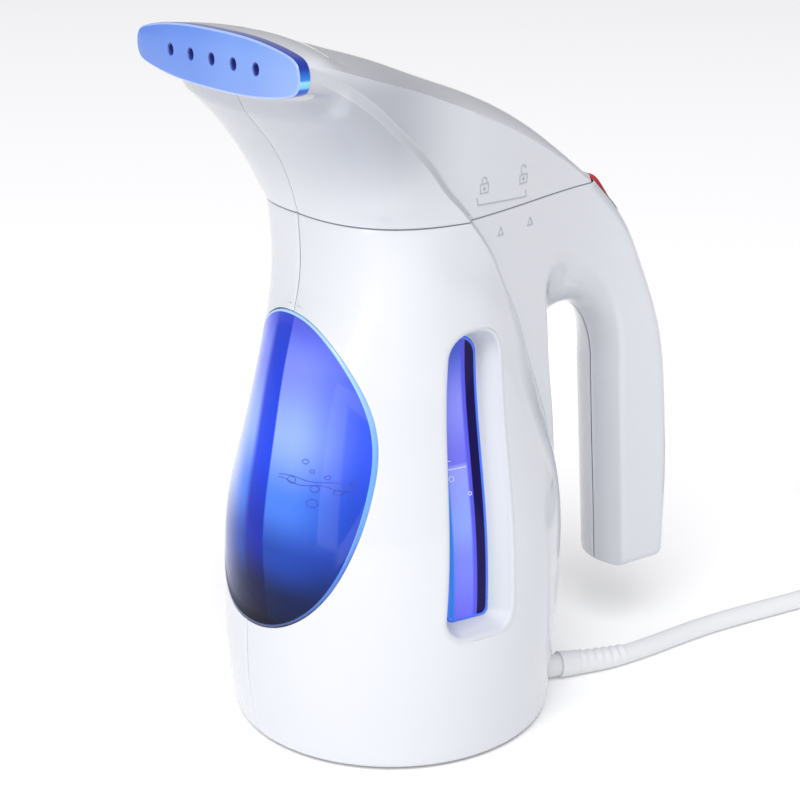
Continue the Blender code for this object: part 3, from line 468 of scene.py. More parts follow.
def lens_look():
    """Blue water behind a glossy lens: a deep band on one side of a pale middle, dark at the foot, and a far
    side made pale by a painted reflection.
    """
    look = Look("blue_lens", (0.2, 0.3, 0.9), 0.05, Coat_Weight=0.22, Coat_Roughness=0.08,
                Specular_IOR_Level=0.05)
    height, across = look.position("Z"), look.position("Y")
    pale = look.ramp(height, [
        (0.046, (0.001, 0.002, 0.010)), (0.060, (0.004, 0.010, 0.06)), (0.076, (0.012, 0.050, 0.34)),
        (0.094, (0.06, 0.18, 0.72)), (0.116, (0.25, 0.37, 0.90)), (0.138, (0.17, 0.22, 0.80)),
        (0.156, (0.06, 0.08, 0.60)),
    ])
    deep = look.ramp(height, [
        (0.046, (0.001, 0.001, 0.006)), (0.062, (0.002, 0.004, 0.05)), (0.082, (0.004, 0.018, 0.34)),
        (0.110, (0.010, 0.050, 0.66)), (0.156, (0.014, 0.040, 0.50)),
    ])
    royal = look.ramp(height, [
        (0.046, (0.001, 0.002, 0.010)), (0.064, (0.003, 0.010, 0.07)), (0.088, (0.012, 0.050, 0.45)),
        (0.120, (0.030, 0.080, 0.72)), (0.156, (0.09, 0.12, 0.85)),
    ])
    # the band's edges lean with the height
    lean = look.math("MULTIPLY", look.math("SUBTRACT", height, 0.1), 0.11)
    edge = look.math("SUBTRACT", across, lean)
    color = look.mix(look.step(edge, -0.040, -0.016), royal, pale)
    color = look.mix(look.step(edge, -0.0080, -0.0070), color, deep)
    color = look.mix(look.step(edge, 0.001, 0.006), color, pale)
    # painted reflection: the far side made paler, as a grazing reflection of the bright room
    painted_far_reflection = look.ramp(height, [
        (0.046, (0.01, 0.015, 0.05)), (0.072, (0.10, 0.14, 0.40)), (0.100, (0.50, 0.60, 0.95)),
        (0.156, (0.42, 0.46, 0.92)),
    ])
    color = look.mix(look.step(edge, 0.005, 0.024), color, painted_far_reflection)
    return look.color(color).grain(1200, 0.005)


def rim_look():
    # painted highlight: the chamfered rim lighter than the lens, and lighter towards the top
    look = Look("blue_lens_rim_painted_highlight", (0.2, 0.4, 1.0), 0.1, Coat_Weight=0.5, Coat_Roughness=0.03)
    height = look.ramp(look.position("Z"), [
        (0.046, (0.01, 0.03, 0.16)), (0.072, (0.04, 0.16, 0.55)), (0.100, (0.12, 0.34, 0.85)),
        (0.155, (0.34, 0.56, 0.95)),
    ])
    return look.color(height).grain(1200, 0.01)


def tank_look():
    look = Look("blue_tank", (0.1, 0.15, 0.8), 0.12, Coat_Weight=0.5)
    height = look.ramp(look.position("Z"), [
        (0.034, (0.002, 0.003, 0.02)), (0.060, (0.004, 0.008, 0.08)), (0.090, (0.012, 0.03, 0.42)),
        (0.1055, (0.02, 0.06, 0.62)), (0.1065, (0.04, 0.09, 0.85)), (0.150, (0.16, 0.2, 1.0)),
    ])
    return look.color(height).grain(1200, 0.01)


def pane_look():
    """The water seen through the level window: pale at the front, deep and nearly black at the back."""
    look = Look("blue_pane", (0.3, 0.35, 1.0), 0.06, Coat_Weight=0.15, Coat_Roughness=0.05,
                Specular_IOR_Level=0.1)
    height = look.ramp(look.position("Z"), [
        (0.052, (0.16, 0.16, 0.90)), (0.072, (0.20, 0.24, 0.92)), (0.0865, (0.26, 0.36, 0.94)),
        (0.1050, (0.30, 0.34, 0.95)), (0.1062, (0.18, 0.18, 0.85)), (0.125, (0.26, 0.28, 0.92)),
        (0.148, (0.07, 0.12, 0.70)),
    ])
    middle = look.math("MULTIPLY", look.math("SUBTRACT", look.position("Z"), 0.1), 0.057)
    across = look.math("SUBTRACT", look.math("SUBTRACT", look.position("X"), middle), BODY_X * MM - 0.0008)
    color = look.mix(look.step(across, -0.0062, -0.0052), (0.02, 0.22, 0.85), height)
    color = look.mix(look.step(across, 0.0012, 0.0024), color, (0.10, 0.10, 0.80))
    color = look.mix(look.step(across, 0.0032, 0.0036), color, (0.006, 0.002, 0.07))
    return look.color(color).grain(1200, 0.005)


def nozzle_look():
    look = Look("blue_nozzle", (0.1, 0.25, 0.9), 0.2, Coat_Weight=0.3, Coat_Roughness=0.05)
    # painted light: the face lighter at its -Y end and darker at its +Y end
    across = look.ramp(look.position("Y"), [
        (-0.053, (0.21, 0.34, 0.72)), (-0.02, (0.13, 0.27, 0.70)), (0.02, (0.075, 0.20, 0.66)),
        (0.053, (0.055, 0.17, 0.62)),
    ])
    return look.color(across).grain(1200, 0.01)


def edge_look():
    """The plate's clear rim: deep blue, with a painted highlight, one bright facet at each end."""
    look = Look("nozzle_edge", (0.01, 0.05, 0.42), 0.1, Coat_Weight=0.35, Specular_IOR_Level=0.2)
    # painted highlight: a bright band at this height
    height = look.ramp(look.position("Z"), [
        (0.2345, (0.008, 0.04, 0.34)), (0.2372, (0.012, 0.10, 0.58)), (0.2383, (0.20, 0.60, 0.85)),
        (0.2395, (0.25, 0.66, 0.88)), (0.2405, (0.02, 0.18, 0.66)), (0.2440, (0.008, 0.03, 0.32)),
    ])
    return look.color(height).grain(1200, 0.01)


# ---- barrel
def slot_bar(depth, grow, points=9):
    """Outline of the side slot as (x, z), at a share of its depth: a tapered bar with round corners."""
    skin = SLOT_SKIN
    pane = SLOT_PANE
    (zt, xt, ht), (zb, xb, hb) = [
        [a + (b - a) * depth for a, b in zip(outer, inner)] for outer, inner in zip(skin, pane)
    ]
    zt, zb, ht, hb = zt + grow, zb - grow, ht + grow, hb + grow
    radius = {1: 0.85 * ht, -1: (0.55 - 0.25 * depth) * hb}
    outline = []
    for right, up in ((1, 1), (-1, 1), (-1, -1), (1, -1)):
        r = radius[up]
        middle, half = (xt, ht) if up > 0 else (xb, hb)
        start = {(1, 1): 0, (-1, 1): 90, (-1, -1): 180, (1, -1): 270}[right, up]
        cz = zt - r if up > 0 else zb + r
        for k in range(points):
            a = math.radians(start + 90 * k / (points - 1))
            outline.append((middle + right * (half - r) + r * math.cos(a), cz + r * math.sin(a)))
        if (right, up) in ((-1, 1), (1, -1)):
            (xa, za) = outline[-1]
            end, other = ((xb - hb, zb + radius[-1]) if up > 0 else (xt + ht, zt - radius[1]))
            outline += [(xa + (end - xa) * k / 24, za + (other - za) * k / 24) for k in range(1, 24)]
    return outline


def spine_x(ends, z):
    (zt, xt, _), (zb, xb, _) = ends
    return xb + (xt - xb) * (z - zb) / (zt - zb)


def slot_edges(z, grow):
    """Front and rear x of the slot at a height, on the skin, and its lowest and highest levels."""
    outline = np.array(slot_bar(0, grow, 40))
    low, high = outline[:, 1].min(), outline[:, 1].max()
    z = float(np.clip(z, low + 1e-3, high - 1e-3))
    middle = spine_x(SLOT_SKIN, z)
    behind = outline[:, 0] >= spine_x(SLOT_SKIN, outline[:, 1])
    found = []
    for side in (outline[~behind], outline[behind]):
        side = side[np.argsort(side[:, 1])]
        found.append(float(np.interp(z, side[:, 1], side[:, 0])))
    return min(found[0], middle - 0.5), max(found[1], middle + 0.5), low, high


def section(z):
    return barrel_x(z), barrel_a(z), barrel_b(z), barrel_p(z)


def side_y(x, z):
    """Half width of the barrel at x, before the fin."""
    cx, a, b, p = section(z)
    return b * np.maximum(1 - np.abs(np.clip((x - cx) / a, -1, 1)) ** p, 0) ** (1 / p)


def front_x(y, z):
    cx, a, b, p = section(z)
    return cx - a * np.maximum(1 - np.abs(np.clip(y / b, -1, 1)) ** p, 0) ** (1 / p)


def leaf_half_width(z):
    lift = np.clip((z - LEAF_Z) / LEAF_HALF_HEIGHT, -1, 1)
    return LEAF_HALF_WIDTH * (1 - np.abs(lift) ** LEAF_POWER) ** (1 / LEAF_POWER) * (1 - LEAF_SKEW * lift)


def crest_at(z):
    """Where the barrel's side turns in towards the fin, and where that short wall ends."""
    cx, a, _, _ = section(z)
    ridge = min(float(ridge_line(z)), float(cx + 0.97 * a))
    low, high = float(cx), ridge
    for _ in range(30):
        mid = (low + high) / 2
        if side_y(mid, z) - fin_width(mid) > crest_step(z):
            low = mid
        else:
            high = mid
    steady = float(smooth(85, 115, z))
    wall = min(max(ridge - low, 1.2), 2.5) * (1 - steady) + CREST_WIDTH * steady
    return ridge - wall, ridge


def spread(start, stop, count, ends=0.0):
    """Values from start to stop, closer together near both ends when asked."""
    t = np.linspace(0, 1, count)
    return start + (stop - start) * (t * (1 - ends) + ends * (1 - np.cos(math.pi * t)) / 2)


def barrel_row(z, inset):
    """One level of the barrel's skin on the +Y side, from the front's edge round to the back."""
    cx, a, b, p = (float(v) for v in section(z))
    crest, ridge = crest_at(z)
    start_y = max(SPLIT, float(leaf_half_width(z)))
    if abs(z - LEAF_Z) >= LEAF_HALF_HEIGHT:
        start_y = SPLIT
    slot_front, slot_rear, _, _ = slot_edges(z, 1.6)
    shift = min(0.0, crest - 10 - float(slot_rear))
    slot_front, slot_rear = float(slot_front) + shift, float(slot_rear) + shift

    def angle(x):
        c = np.clip((x - cx) / a, -1, 1)
        return math.acos(-signed(c, p / 2))

    first = math.asin(min(1, (start_y / b) ** (p / 2)))
    edge = 0.45 / 50
    marks = [first, first + edge, angle(slot_front), angle(slot_rear), angle(crest)]
    t = [marks[0], marks[0] + edge / 2]
    t += list(spread(marks[1], marks[2], FRONT_STEPS))
    t += list(spread(marks[2], marks[3], SLOT_STEPS))[1:]
    t += list(spread(marks[3], marks[4], REAR_STEPS))[1:]
    t = np.array(t)
    x = cx - a * signed(np.cos(t), 2 / p)
    y = b * np.abs(np.sin(t)) ** (2 / p)
    top = float(side_y(crest, z))
    proud = float(fin_width(crest)) + float(crest_step(z))
    top += (proud - top) * float(smooth(85, 115, z))
    reach = 18 + 16 * float(smooth(130, 165, z))
    y = y * (1 + (top / float(side_y(crest, z)) - 1) * smooth(crest - reach, crest, x))
    drop = np.zeros(len(t))
    drop[:3] = 0.34, 0.08, 0.0
    # the short wall between the crest and the fin's side
    wall_x = crest + (ridge - crest) * np.array(WALL_STEPS)
    wall_y = top + (float(fin_width(ridge)) - 0.3 - top) * np.array(WALL_FALL)
    own = side_y(wall_x, z)
    weight = float(smooth(50, 68, z))
    wall_y = np.maximum(own, wall_y) * (1 - weight) + wall_y * weight
    last = math.asin(min(1, (SPLIT / b) ** (p / 2)))
    rest_t = spread(angle(ridge), math.pi - last, 14)[1:]
    rest_x = cx - a * signed(np.cos(rest_t), 2 / p)
    rest_y = b * np.abs(np.sin(rest_t)) ** (2 / p)
    x, y = np.concatenate([x, wall_x, rest_x]), np.concatenate([y, wall_y, rest_y])
    drop = np.concatenate([drop, np.zeros(len(WALL_STEPS) + 13)])
    drop[-1] = 0.3
    size = np.hypot(x - cx, y)
    keep = 1 - (drop + inset) / size
    return np.stack([cx + (x - cx) * keep, np.maximum(y * keep, SPLIT), np.full(len(x), z)], 1)


def barrel_levels():
    foot = [(RIM_Z, 1.3), (RIM_Z + 0.25, 0.7), (RIM_Z + 0.8, 0.2), (RIM_Z + 1.6, 0.0)]
    low = [(z, 0) for z in np.linspace(RIM_Z + 4, LEAF_Z - LEAF_HALF_HEIGHT - 0.6, 14)]
    turn = np.linspace(-math.pi / 2, math.pi / 2, 111)
    leaf = [(LEAF_Z + LEAF_HALF_HEIGHT * math.sin(t), 0) for t in turn]
    high = [(z, 0) for z in np.linspace(LEAF_Z + LEAF_HALF_HEIGHT + 0.6, BODY_TOP - 0.5, 20)]
    return foot + low + leaf + high + [(BODY_TOP - 0.15, 0.1), (BODY_TOP, 0.35)]


def barrel_half():
    _, _, slot_low, slot_high = slot_edges(100.0, 1.6)
    levels = barrel_levels()
    heights = np.array([z for z, _ in levels])
    for limit in (slot_low, slot_high):
        k = int(np.argmin(abs(heights - limit)))
        levels[k] = (limit, levels[k][1])
    rows = [barrel_row(z, inset) for z, inset in levels]
    verts, faces = grid(rows)
    width = len(rows[0])
    slot_first, slot_last = 1 + FRONT_STEPS, FRONT_STEPS + SLOT_STEPS
    wall_end = FRONT_STEPS + SLOT_STEPS + REAR_STEPS + 5
    kept, crest_wall = [], set()
    for face in faces:
        i, k = divmod(face[0], width)
        low, high = levels[i][0], levels[i + 1][0]
        if slot_first <= k < slot_last and low >= slot_low - 0.01 and high <= slot_high + 0.01:
            continue
        if k >= wall_end and high > 74:
            continue
        # these faces take the painted shade of the crest's wall
        if wall_end - 5 <= k < wall_end and low > 95:
            crest_wall.add(len(kept))
        kept.append(face[::-1])
    return thicken(shaded(gather([(verts, kept)]), crest_wall), WALL)


def shaded(shape, chosen):
    """Give the chosen faces the second look, the painted shade of the crest's wall."""
    shape.faces.ensure_lookup_table()
    for face in shape.faces:
        if face.index in chosen:
            face.material_index = 1
    return shape


def slot_half():
    """The funnel of the side slot: a soft lip over the skin's edge, then walls down to the pane."""
    profile = [(0, 1.9, 0.02), (0, 1.5, 0.05), (0, 1.1, 0.02), (0, 0.7, -0.12), (0, 0.35, -0.38),
               (0, 0.1, -0.75), (0.02, 0, -1.3), (0.35, 0, -3.2), (0.7, 0, -5.6), (1, 0, -SLOT_DEPTH),
               (1, -0.6, -SLOT_DEPTH - 0.1)]
    rows = []
    for depth, grow, out in profile:
        outline = slot_bar(depth, grow)
        rows.append([(x, float(side_y(x, z)) + out, z) for x, z in outline])
    return gather([grid(rows, closed=True)])


def pane_half():
    """The level window at the slot's foot: a bright rim around a flat pane."""
    outer = slot_bar(1, -0.1)
    rows = []
    for share, out in ((1, -1.4), (1, -0.3), (0.97, 0.1), (0.92, 0.25), (0.88, 0.25), (0.85, 0.1),
                       (0.4, 0.1), (0, 0.1)):
        points = []
        for x, z in outer:
            foot = min(max(z, 60), 140)
            middle = spine_x(SLOT_PANE, foot)
            points.append((middle + (x - middle) * share, foot + (z - foot) * share))
        rows.append([(x, float(side_y(x, z)) - SLOT_DEPTH + out, z) for x, z in points])
    shape = bmesh.new()
    verts, faces = grid(rows, closed=True)
    made = [shape.verts.new(v) for v in verts]
    for face in faces:
        one = shape.faces.new([made[k] for k in face])
        one.material_index = 0 if face[0] < 5 * len(outer) else 1
    bmesh.ops.remove_doubles(shape, verts=shape.verts, dist=0.02)
    bmesh.ops.dissolve_degenerate(shape, edges=shape.edges, dist=0.005)
    bmesh.ops.recalc_face_normals(shape, faces=shape.faces)
    if sum(f.normal.y for f in shape.faces if f.material_index) < 0:
        bmesh.ops.reverse_faces(shape, faces=shape.faces)
    return shape


def make_lens(looks):
    """The leaf lens: a chamfered edge in a painted highlight around a clear face."""
    turn = around(LENS_POINTS)
    across, lift = signed(np.cos(turn), 2 / LEAF_POWER), signed(np.sin(turn), 2 / LEAF_POWER)
    y, z = LEAF_HALF_WIDTH * across * (1 - LEAF_SKEW * lift), LEAF_HALF_HEIGHT * lift
    size = np.hypot(y, z)
    rows = []
    for inset, out in ((0.35, -2.4), (0.35, -0.35), (0.5, -0.08), (0.65, 0.02), (1.05, 0.02), (1.2, -0.06)):
        share = 1 - inset / size
        rows.append([(float(front_x(b, LEAF_Z + c)) - out, b, LEAF_Z + c)
                     for b, c in zip(y * share, z * share)])
    for share in (0.9, 0.8, 0.7, 0.6, 0.5, 0.4, 0.3, 0.2, 0.1, 0.03):
        rows.append([(float(front_x(b, LEAF_Z + c)) + 0.06, b, LEAF_Z + c)
                     for b, c in zip(y * share, z * share)])
    verts, faces = grid(rows, closed=True)
    shape = gather([(verts, faces)])
    ends = [e for e in shape.edges if e.is_boundary and abs(e.verts[0].co.z - LEAF_Z) < 8
            and abs(e.verts[0].co.y) < 8]
    bmesh.ops.triangle_fill(shape, use_beauty=True, edges=ends)
    rim = LENS_POINTS * 5
    shape.faces.ensure_lookup_table()
    for face in shape.faces:
        face.material_index = 0 if face.index < rim else 1
    bmesh.ops.recalc_face_normals(shape, faces=shape.faces)
    piece("front_window.lens", shape, [looks["lens_rim"], looks["lens"]], "body", "blue_lens",
          replaces=("front_window",))


def tank_row(z, inset):
    turn = around(96)
    cx, a, b, p = (float(v) for v in section(z))
    a, b = a - 3.6 - inset, b - 10.6 - inset
    c, s = np.cos(turn), np.sin(turn)
    return [(cx - a * signed(u, 2 / p), b * signed(v, 2 / p), z) for u, v in zip(c, s)]


def round_row(radius, z, x):
    turn = around(96)
    return [(x - radius * math.cos(a), radius * math.sin(a), z) for a in turn]


def make_tank(looks):
    heights = np.linspace(37, 150, 48)
    rows = [round_row(25, 34, 0), tank_row(34, 3), tank_row(35.2, 0.8)] + [tank_row(z, 0) for z in heights]
    rows += [round_row(31, 160.5, NECK_X), round_row(28.6, 163.4, NECK_X), round_row(24.2, 163.4, NECK_X)]
    shape = gather([grid(rows, closed=True)])
    bmesh.ops.recalc_face_normals(shape, faces=shape.faces)
    thicken(shape, 1.6)
    piece("tank", shape, looks["tank"], "body", "blue_tank", replaces=("tank_base", "tank_dome"))


def make_body(looks):
    shell = dict(look=looks["white"], body="body", slot="white_shell")
    two = {**shell, "look": [looks["white"], looks["crest"]]}
    both_sides(("housing_left.barrel", "housing_right.barrel"), barrel_half, **two)
    both_sides(("housing_left.grip", "housing_right.grip"), fin_half, **shell)
    both_sides(("housing_left.slot", "housing_right.slot"), slot_half,
               **{**shell, "look": looks["slot"]}, sharp=50)
    both_sides(("level_window_left.pane", "level_window_right.pane"), pane_half,
               look=[looks["pane_rim"], looks["pane"]], body="body", slot="blue_lens", sharp=50)
    make_lens(looks)
    make_tank(looks)
    make_deck("housing_left.deck", BODY_TOP - 1.6, 29.3, looks["white"], "body", "white_shell")
    make_seam(looks)


def fin_half():
    """The side panel and the grip on the +Y side, cut at the parting plane and at the seam."""
    verts, faces = net(fin_field, (-5.0, -2.0, 26.5), (127.0, 47.0, 190.5), 0.8)
    middle = verts[faces].mean(1)
    faces = faces[middle[:, 0] > ridge_line(middle[:, 2]) - 4.4]
    shape = bmesh.new()
    made = [shape.verts.new(v) for v in verts]
    for face in faces:
        shape.faces.new([made[k] for k in face])
    bmesh.ops.delete(shape, geom=[v for v in shape.verts if not v.link_faces], context="VERTS")
    cuts = [((0, SPLIT + 0.45, 0), (0, -1, 0), False), ((0, SPLIT, 0), (0, -1, 0), True),
            ((0, 0, BODY_TOP - 0.45), (0, 0, 1), False), ((0, 0, BODY_TOP), (0, 0, 1), True)]
    for point, normal, drop in cuts:
        everything = shape.verts[:] + shape.edges[:] + shape.faces[:]
        bmesh.ops.bisect_plane(shape, geom=everything, plane_co=point, plane_no=normal, clear_outer=drop,
                               dist=0.001)
    bmesh.ops.remove_doubles(shape, verts=shape.verts, dist=0.03)
    soften_rim(shape, lambda v: abs(v.co.y - SPLIT) < 1e-3 or abs(v.co.z - BODY_TOP) < 1e-3)
    return shape


def soften_rim(shape, at_rim):
    """Draw the rims of a cut shell in a little, so that the edge catches the light."""
    co = np.array([v.co for v in shape.verts])
    slope = gradient(fin_field, co)
    for vert, one in zip(shape.verts, slope):
        if at_rim(vert):
            move = np.array(one)
            if abs(vert.co.y - SPLIT) < 1e-3:
                move[1] = 0
            if abs(vert.co.z - BODY_TOP) < 1e-3:
                move[2] = 0
            size = np.linalg.norm(move)
            if size > 0.1:
                vert.co -= Vector(move / size * 0.32)


# ---- head
def head_ring(angle, inset=0.0):
    """Half a section of the head on the +Y side, from the throat's middle over the ridge to the crown's."""
    front, edge = float(throat_r(angle)) + inset, float(edge_r(angle)) - inset
    top, ridge = float(crown_r(angle)) - inset, min(float(ridge_r(angle)), edge - 0.4)
    upright = math.cos(math.radians(angle))
    back = ridge - CREST_WIDTH
    c, s = math.cos(math.radians(angle)), math.sin(math.radians(angle))

    def width(r):
        return float(fin_width(FAN_X + r * c)) - inset

    crest = width(back) + 2.2 * upright
    points = []
    for t in np.linspace(0, math.pi / 2, 44):
        share = 2 / THROAT_SQUARENESS
        points.append((back - (back - front) * math.cos(t) ** share if t < 1.5707 else back,
                       crest * math.sin(t) ** share))
    low = width(ridge)
    points += [(back + (ridge - back) * k, crest + (low - crest) * f) for k, f in zip(WALL_STEPS, WALL_FALL)]
    points += [(r, width(r)) for r in np.linspace(ridge, edge, 26)[1:]]
    for t in np.linspace(math.pi / 2, 0, 26)[1:]:
        share = math.sin(t)
        lift = math.cos(t) ** (2 * (1 - 0.35 * upright ** 8))
        points.append((edge + (top - edge) * lift, share * width(edge)))
    points = [(r, max(y, SPLIT)) for r, y in points]
    points[0], points[-1] = (points[0][0] + 0.3, SPLIT), (points[-1][0] - 0.3, SPLIT)
    ring = [(FAN_X + r * c, y, SEAM_Z + 0.15 + r * s) for r, y in points]
    if angle < 72:
        return ring
    starts = 79 - 7 * smooth(18, 44, np.arange(len(ring)))
    return [(x, *towards_plate(y, z, float(smooth(start, 90, angle)), 0.35 + inset))
            for (x, y, z), start in zip(ring, starts)]


def towards_plate(y, z, share, inset):
    """A point of the head's front end, drawn towards the outline of the steam plate."""
    up, side = z - PLATE_Z, max(y, 1e-6)
    size = math.hypot(side, up)
    low, high = 0.0, 3.0
    for _ in range(24):
        mid = (low + high) / 2
        if abs(up) * mid < plate_half_height(side * mid, up, inset):
            low = mid
        else:
            high = mid
    keep = 1 + (low - 1) * share
    return max(side * keep, SPLIT) if y > SPLIT + 1e-6 else SPLIT, PLATE_Z + up * keep


def plate_half_height(y, up, inset=0.0):
    """Half height of the steam plate at y: two shallow arcs that end in short upright edges."""
    half = PLATE_HALF - inset
    share = min(abs(y) / half, 1)
    height = (9.5 if up > 0 else 9.6) - inset
    return height * (1 - 0.5 * share ** 2.7) * (1 - share ** 36) ** 0.5


def head_half():
    angles = [0, 0.35, 0.9, 1.6, 2.6, 3.8, 5] + list(np.arange(6.5, 88.6, 1.5)) + [89.3, 90]
    rows = [head_ring(angles[0], 0.3)] + [head_ring(a) for a in angles[1:]]
    front = head_ring(90)
    rows += [[(x - 0.5, y, z) for x, y, z in front], [(x - 1.0, y, z) for x, y, z in front],
             [(x - 1.2, y, z) for x, y, z in head_ring(90, 0.25)]]
    verts, faces = grid(rows)
    width = len(rows[0])
    # the crest's wall takes the painted shade
    wall = {n for n, face in enumerate(faces) if 44 <= face[0] % width < 49}
    return thicken(shaded(gather([(verts, [face[::-1] for face in faces])]), wall), WALL)


def make_deck(name, z, hole, look, body, slot):
    """The plate across the seam, with the neck's hole in it."""
    half = [(x, y) for x, y, _ in head_ring(0, 0.9)]
    outline = half + [(x, -y) for x, y in reversed(half)]
    shape = bmesh.new()
    outer = [shape.verts.new((x, y, z)) for x, y in outline]
    inner = [shape.verts.new((NECK_X + hole * math.cos(a), hole * math.sin(a), z))
             for a in around(72)]
    edges = [shape.edges.new((ring[k], ring[(k + 1) % len(ring)]))
             for ring in (outer, inner) for k in range(len(ring))]
    bmesh.ops.triangle_fill(shape, use_beauty=True, edges=edges)
    bmesh.ops.recalc_face_normals(shape, faces=shape.faces)
    up = sum(f.normal.z * f.calc_area() for f in shape.faces) > 0
    if up != (body == "body"):
        bmesh.ops.reverse_faces(shape, faces=shape.faces)
    thicken(shape, 1.4)
    piece(name, shape, look, body, slot)


def make_head(looks):
    shell = dict(look=looks["white"], body="head", slot="white_shell")
    two = {**shell, "look": [looks["white"], looks["crest"]]}
    both_sides(("head_left.shell", "head_right.shell"), head_half, **two)
    make_deck("head_left.floor", HEAD_LOW + 0.6, 24.2, looks["white"], "head", "white_shell")
    make_face_wall(looks)
    make_nozzle(looks)


def make_seam(looks):
    """A dark sheet in the gap between body and head: painted shade of the seam."""
    half = [(x, y) for x, y, _ in head_ring(0, 0.28)]
    outline = half + [(x, -y) for x, y in reversed(half)]
    shape = gather([grid([[(x, y, z) for x, y in outline] for z in (BODY_TOP - 0.12, HEAD_LOW + 0.12)],
                         closed=True)])
    bmesh.ops.recalc_face_normals(shape, faces=shape.faces)
    piece("housing_left.seam", shape, looks["seam_painted_shade"], "body", "white_shell")


def make_face_wall(looks):
    """The wall that the steam plate is fixed to."""
    half = [(y, z) for _, y, z in head_ring(90, 0.3)]
    outline = half + [(-y, z) for y, z in reversed(half)]
    shape = bmesh.new()
    verts = [shape.verts.new((FAN_X - 1.05, y, z)) for y, z in outline]
    shape.faces.new(verts)
    bmesh.ops.triangulate(shape, faces=shape.faces)
    bmesh.ops.recalc_face_normals(shape, faces=shape.faces)
    if sum(f.normal.x for f in shape.faces) > 0:
        bmesh.ops.reverse_faces(shape, faces=shape.faces)
    thicken(shape, 1.4)
    piece("head_left.front", shape, looks["white"], "head", "white_shell")


# ---- steam plate
HOLES = (-28, -14, 0, 14, 28)


def plate_ring(inset, count=160):
    ring = []
    for a in around(count):
        c, s = math.cos(a), math.sin(a)
        share = signed(math.sin(math.pi / 2 * np.clip(c, -1, 1)), 0.6)
        up = 1 if s > 0 else -1
        y = (PLATE_HALF - inset) * share
        ring.append((y, PLATE_Z + up * plate_half_height(y, up, inset)))
    return ring


def make_nozzle(looks):
    levels = ((PLATE_BACK_X, 0.2), (PLATE_X + 0.9, 0.0), (PLATE_X + 0.45, 0.1), (PLATE_X + 0.1, 0.4),
              (PLATE_X, 0.75))
    rows = [[(x, y, z) for y, z in plate_ring(inset)] for x, inset in levels]
    shape = gather([grid(rows, closed=True)])
    rim = [e for e in shape.edges if e.is_boundary and all(abs(v.co.x - PLATE_X) < 0.01 for v in e.verts)]
    holes = []
    for y in HOLES:
        rings = []
        for radius, x in ((2.1, PLATE_X), (1.75, PLATE_X + 0.35), (1.7, PLATE_BACK_X + 0.5)):
            rings.append([shape.verts.new((x, y + radius * math.cos(a), PLATE_Z + radius * math.sin(a)))
                          for a in around(24)])
        for outer, inner in zip(rings, rings[1:]):
            for k in range(24):
                nxt = (k + 1) % 24
                made = shape.faces.new((outer[k], outer[nxt], inner[nxt], inner[k]))
                made.material_index = 2
        holes += [shape.edges.get((rings[0][k], rings[0][(k + 1) % 24])) for k in range(24)]
    filled = bmesh.ops.triangle_fill(shape, use_beauty=True, edges=rim + holes)
    face_set = {f for f in filled["geom"] if isinstance(f, bmesh.types.BMFace)}
    for face in shape.faces:
        if face.material_index != 2:
            middle = face.calc_center_median()
            face.material_index = 0 if face in face_set else 3 if middle.x < PLATE_X + 0.3 else 1
    bmesh.ops.recalc_face_normals(shape, faces=shape.faces)
    four = [looks[key] for key in ("nozzle", "nozzle_edge", "hole", "nozzle_outline_painted_highlight")]
    piece("nozzle_plate.face", shape, four, "head", "blue_nozzle", replaces=("nozzle_plate",), sharp=28)


# ---- switch
def switch_place():
    back = Vector((float(fin_back(178.5)) + 1.0, 0, 178.5))
    return Matrix.Translation(back) @ Matrix.Rotation(math.radians(45), 4, "Y")


def pill(length, width, z, count=48, power=3.2):
    """A rounded bar's outline at a height."""
    ring = []
    for a in around(count):
        c, s = math.cos(a), math.sin(a)
        ring.append((length * signed(c, 2 / power), width * signed(s, 2 / power), z))
    return ring


def capped(rows):
    """A closed solid from closed rows."""
    shape = gather([grid(rows, closed=True)])
    bmesh.ops.holes_fill(shape, edges=[e for e in shape.edges if e.is_boundary], sides=0)
    bmesh.ops.recalc_face_normals(shape, faces=shape.faces)
    return shape


def make_switch(looks):
    place = switch_place()
    bezel = [pill(11.2, 6.0, 0.3), pill(11.2, 6.0, 1.3), pill(10.9, 5.7, 1.75), pill(10.5, 5.3, 1.9),
             pill(9.7, 4.8, 1.9), pill(9.5, 4.6, 1.6), pill(9.5, 4.6, 0.3)]
    shape = gather([grid(bezel, closed=True)])
    bmesh.ops.recalc_face_normals(shape, faces=shape.faces)
    shape.transform(place)
    piece("switch_bezel.frame", shape, looks["black"], "body", "black_plastic", replaces=("switch_bezel",))
    lean = Matrix.Rotation(math.radians(6), 4, "Y")
    tilt = Matrix.Translation((0, 0, 0.4)) @ lean @ Matrix.Translation((0, 0, -0.4))
    rows = []
    for share, z in ((1, -1.2), (1, 1.9), (0.97, 2.5), (0.9, 2.85), (0.78, 3.0), (0.6, 3.02), (0.3, 3.0),
                     (0.05, 3.0)):
        ring = []
        for x, y, _ in pill(9.3, 4.4, 0):
            x, y = x * share, y * share
            dish = 0.45 * (x / 9.3) ** 2 + (0.35 if x < 0 else -0.5) * (abs(x) / 9.3)
            ring.append((x, y, z + (dish if z > 0 else 0)))
        rows.append(ring)
    shape = capped(rows)
    shape.transform(place @ tilt)
    piece("switch_rocker.cap", shape, looks["red"], "rocker", "red_rocker",
          replaces=("switch_rocker",), sharp=60)


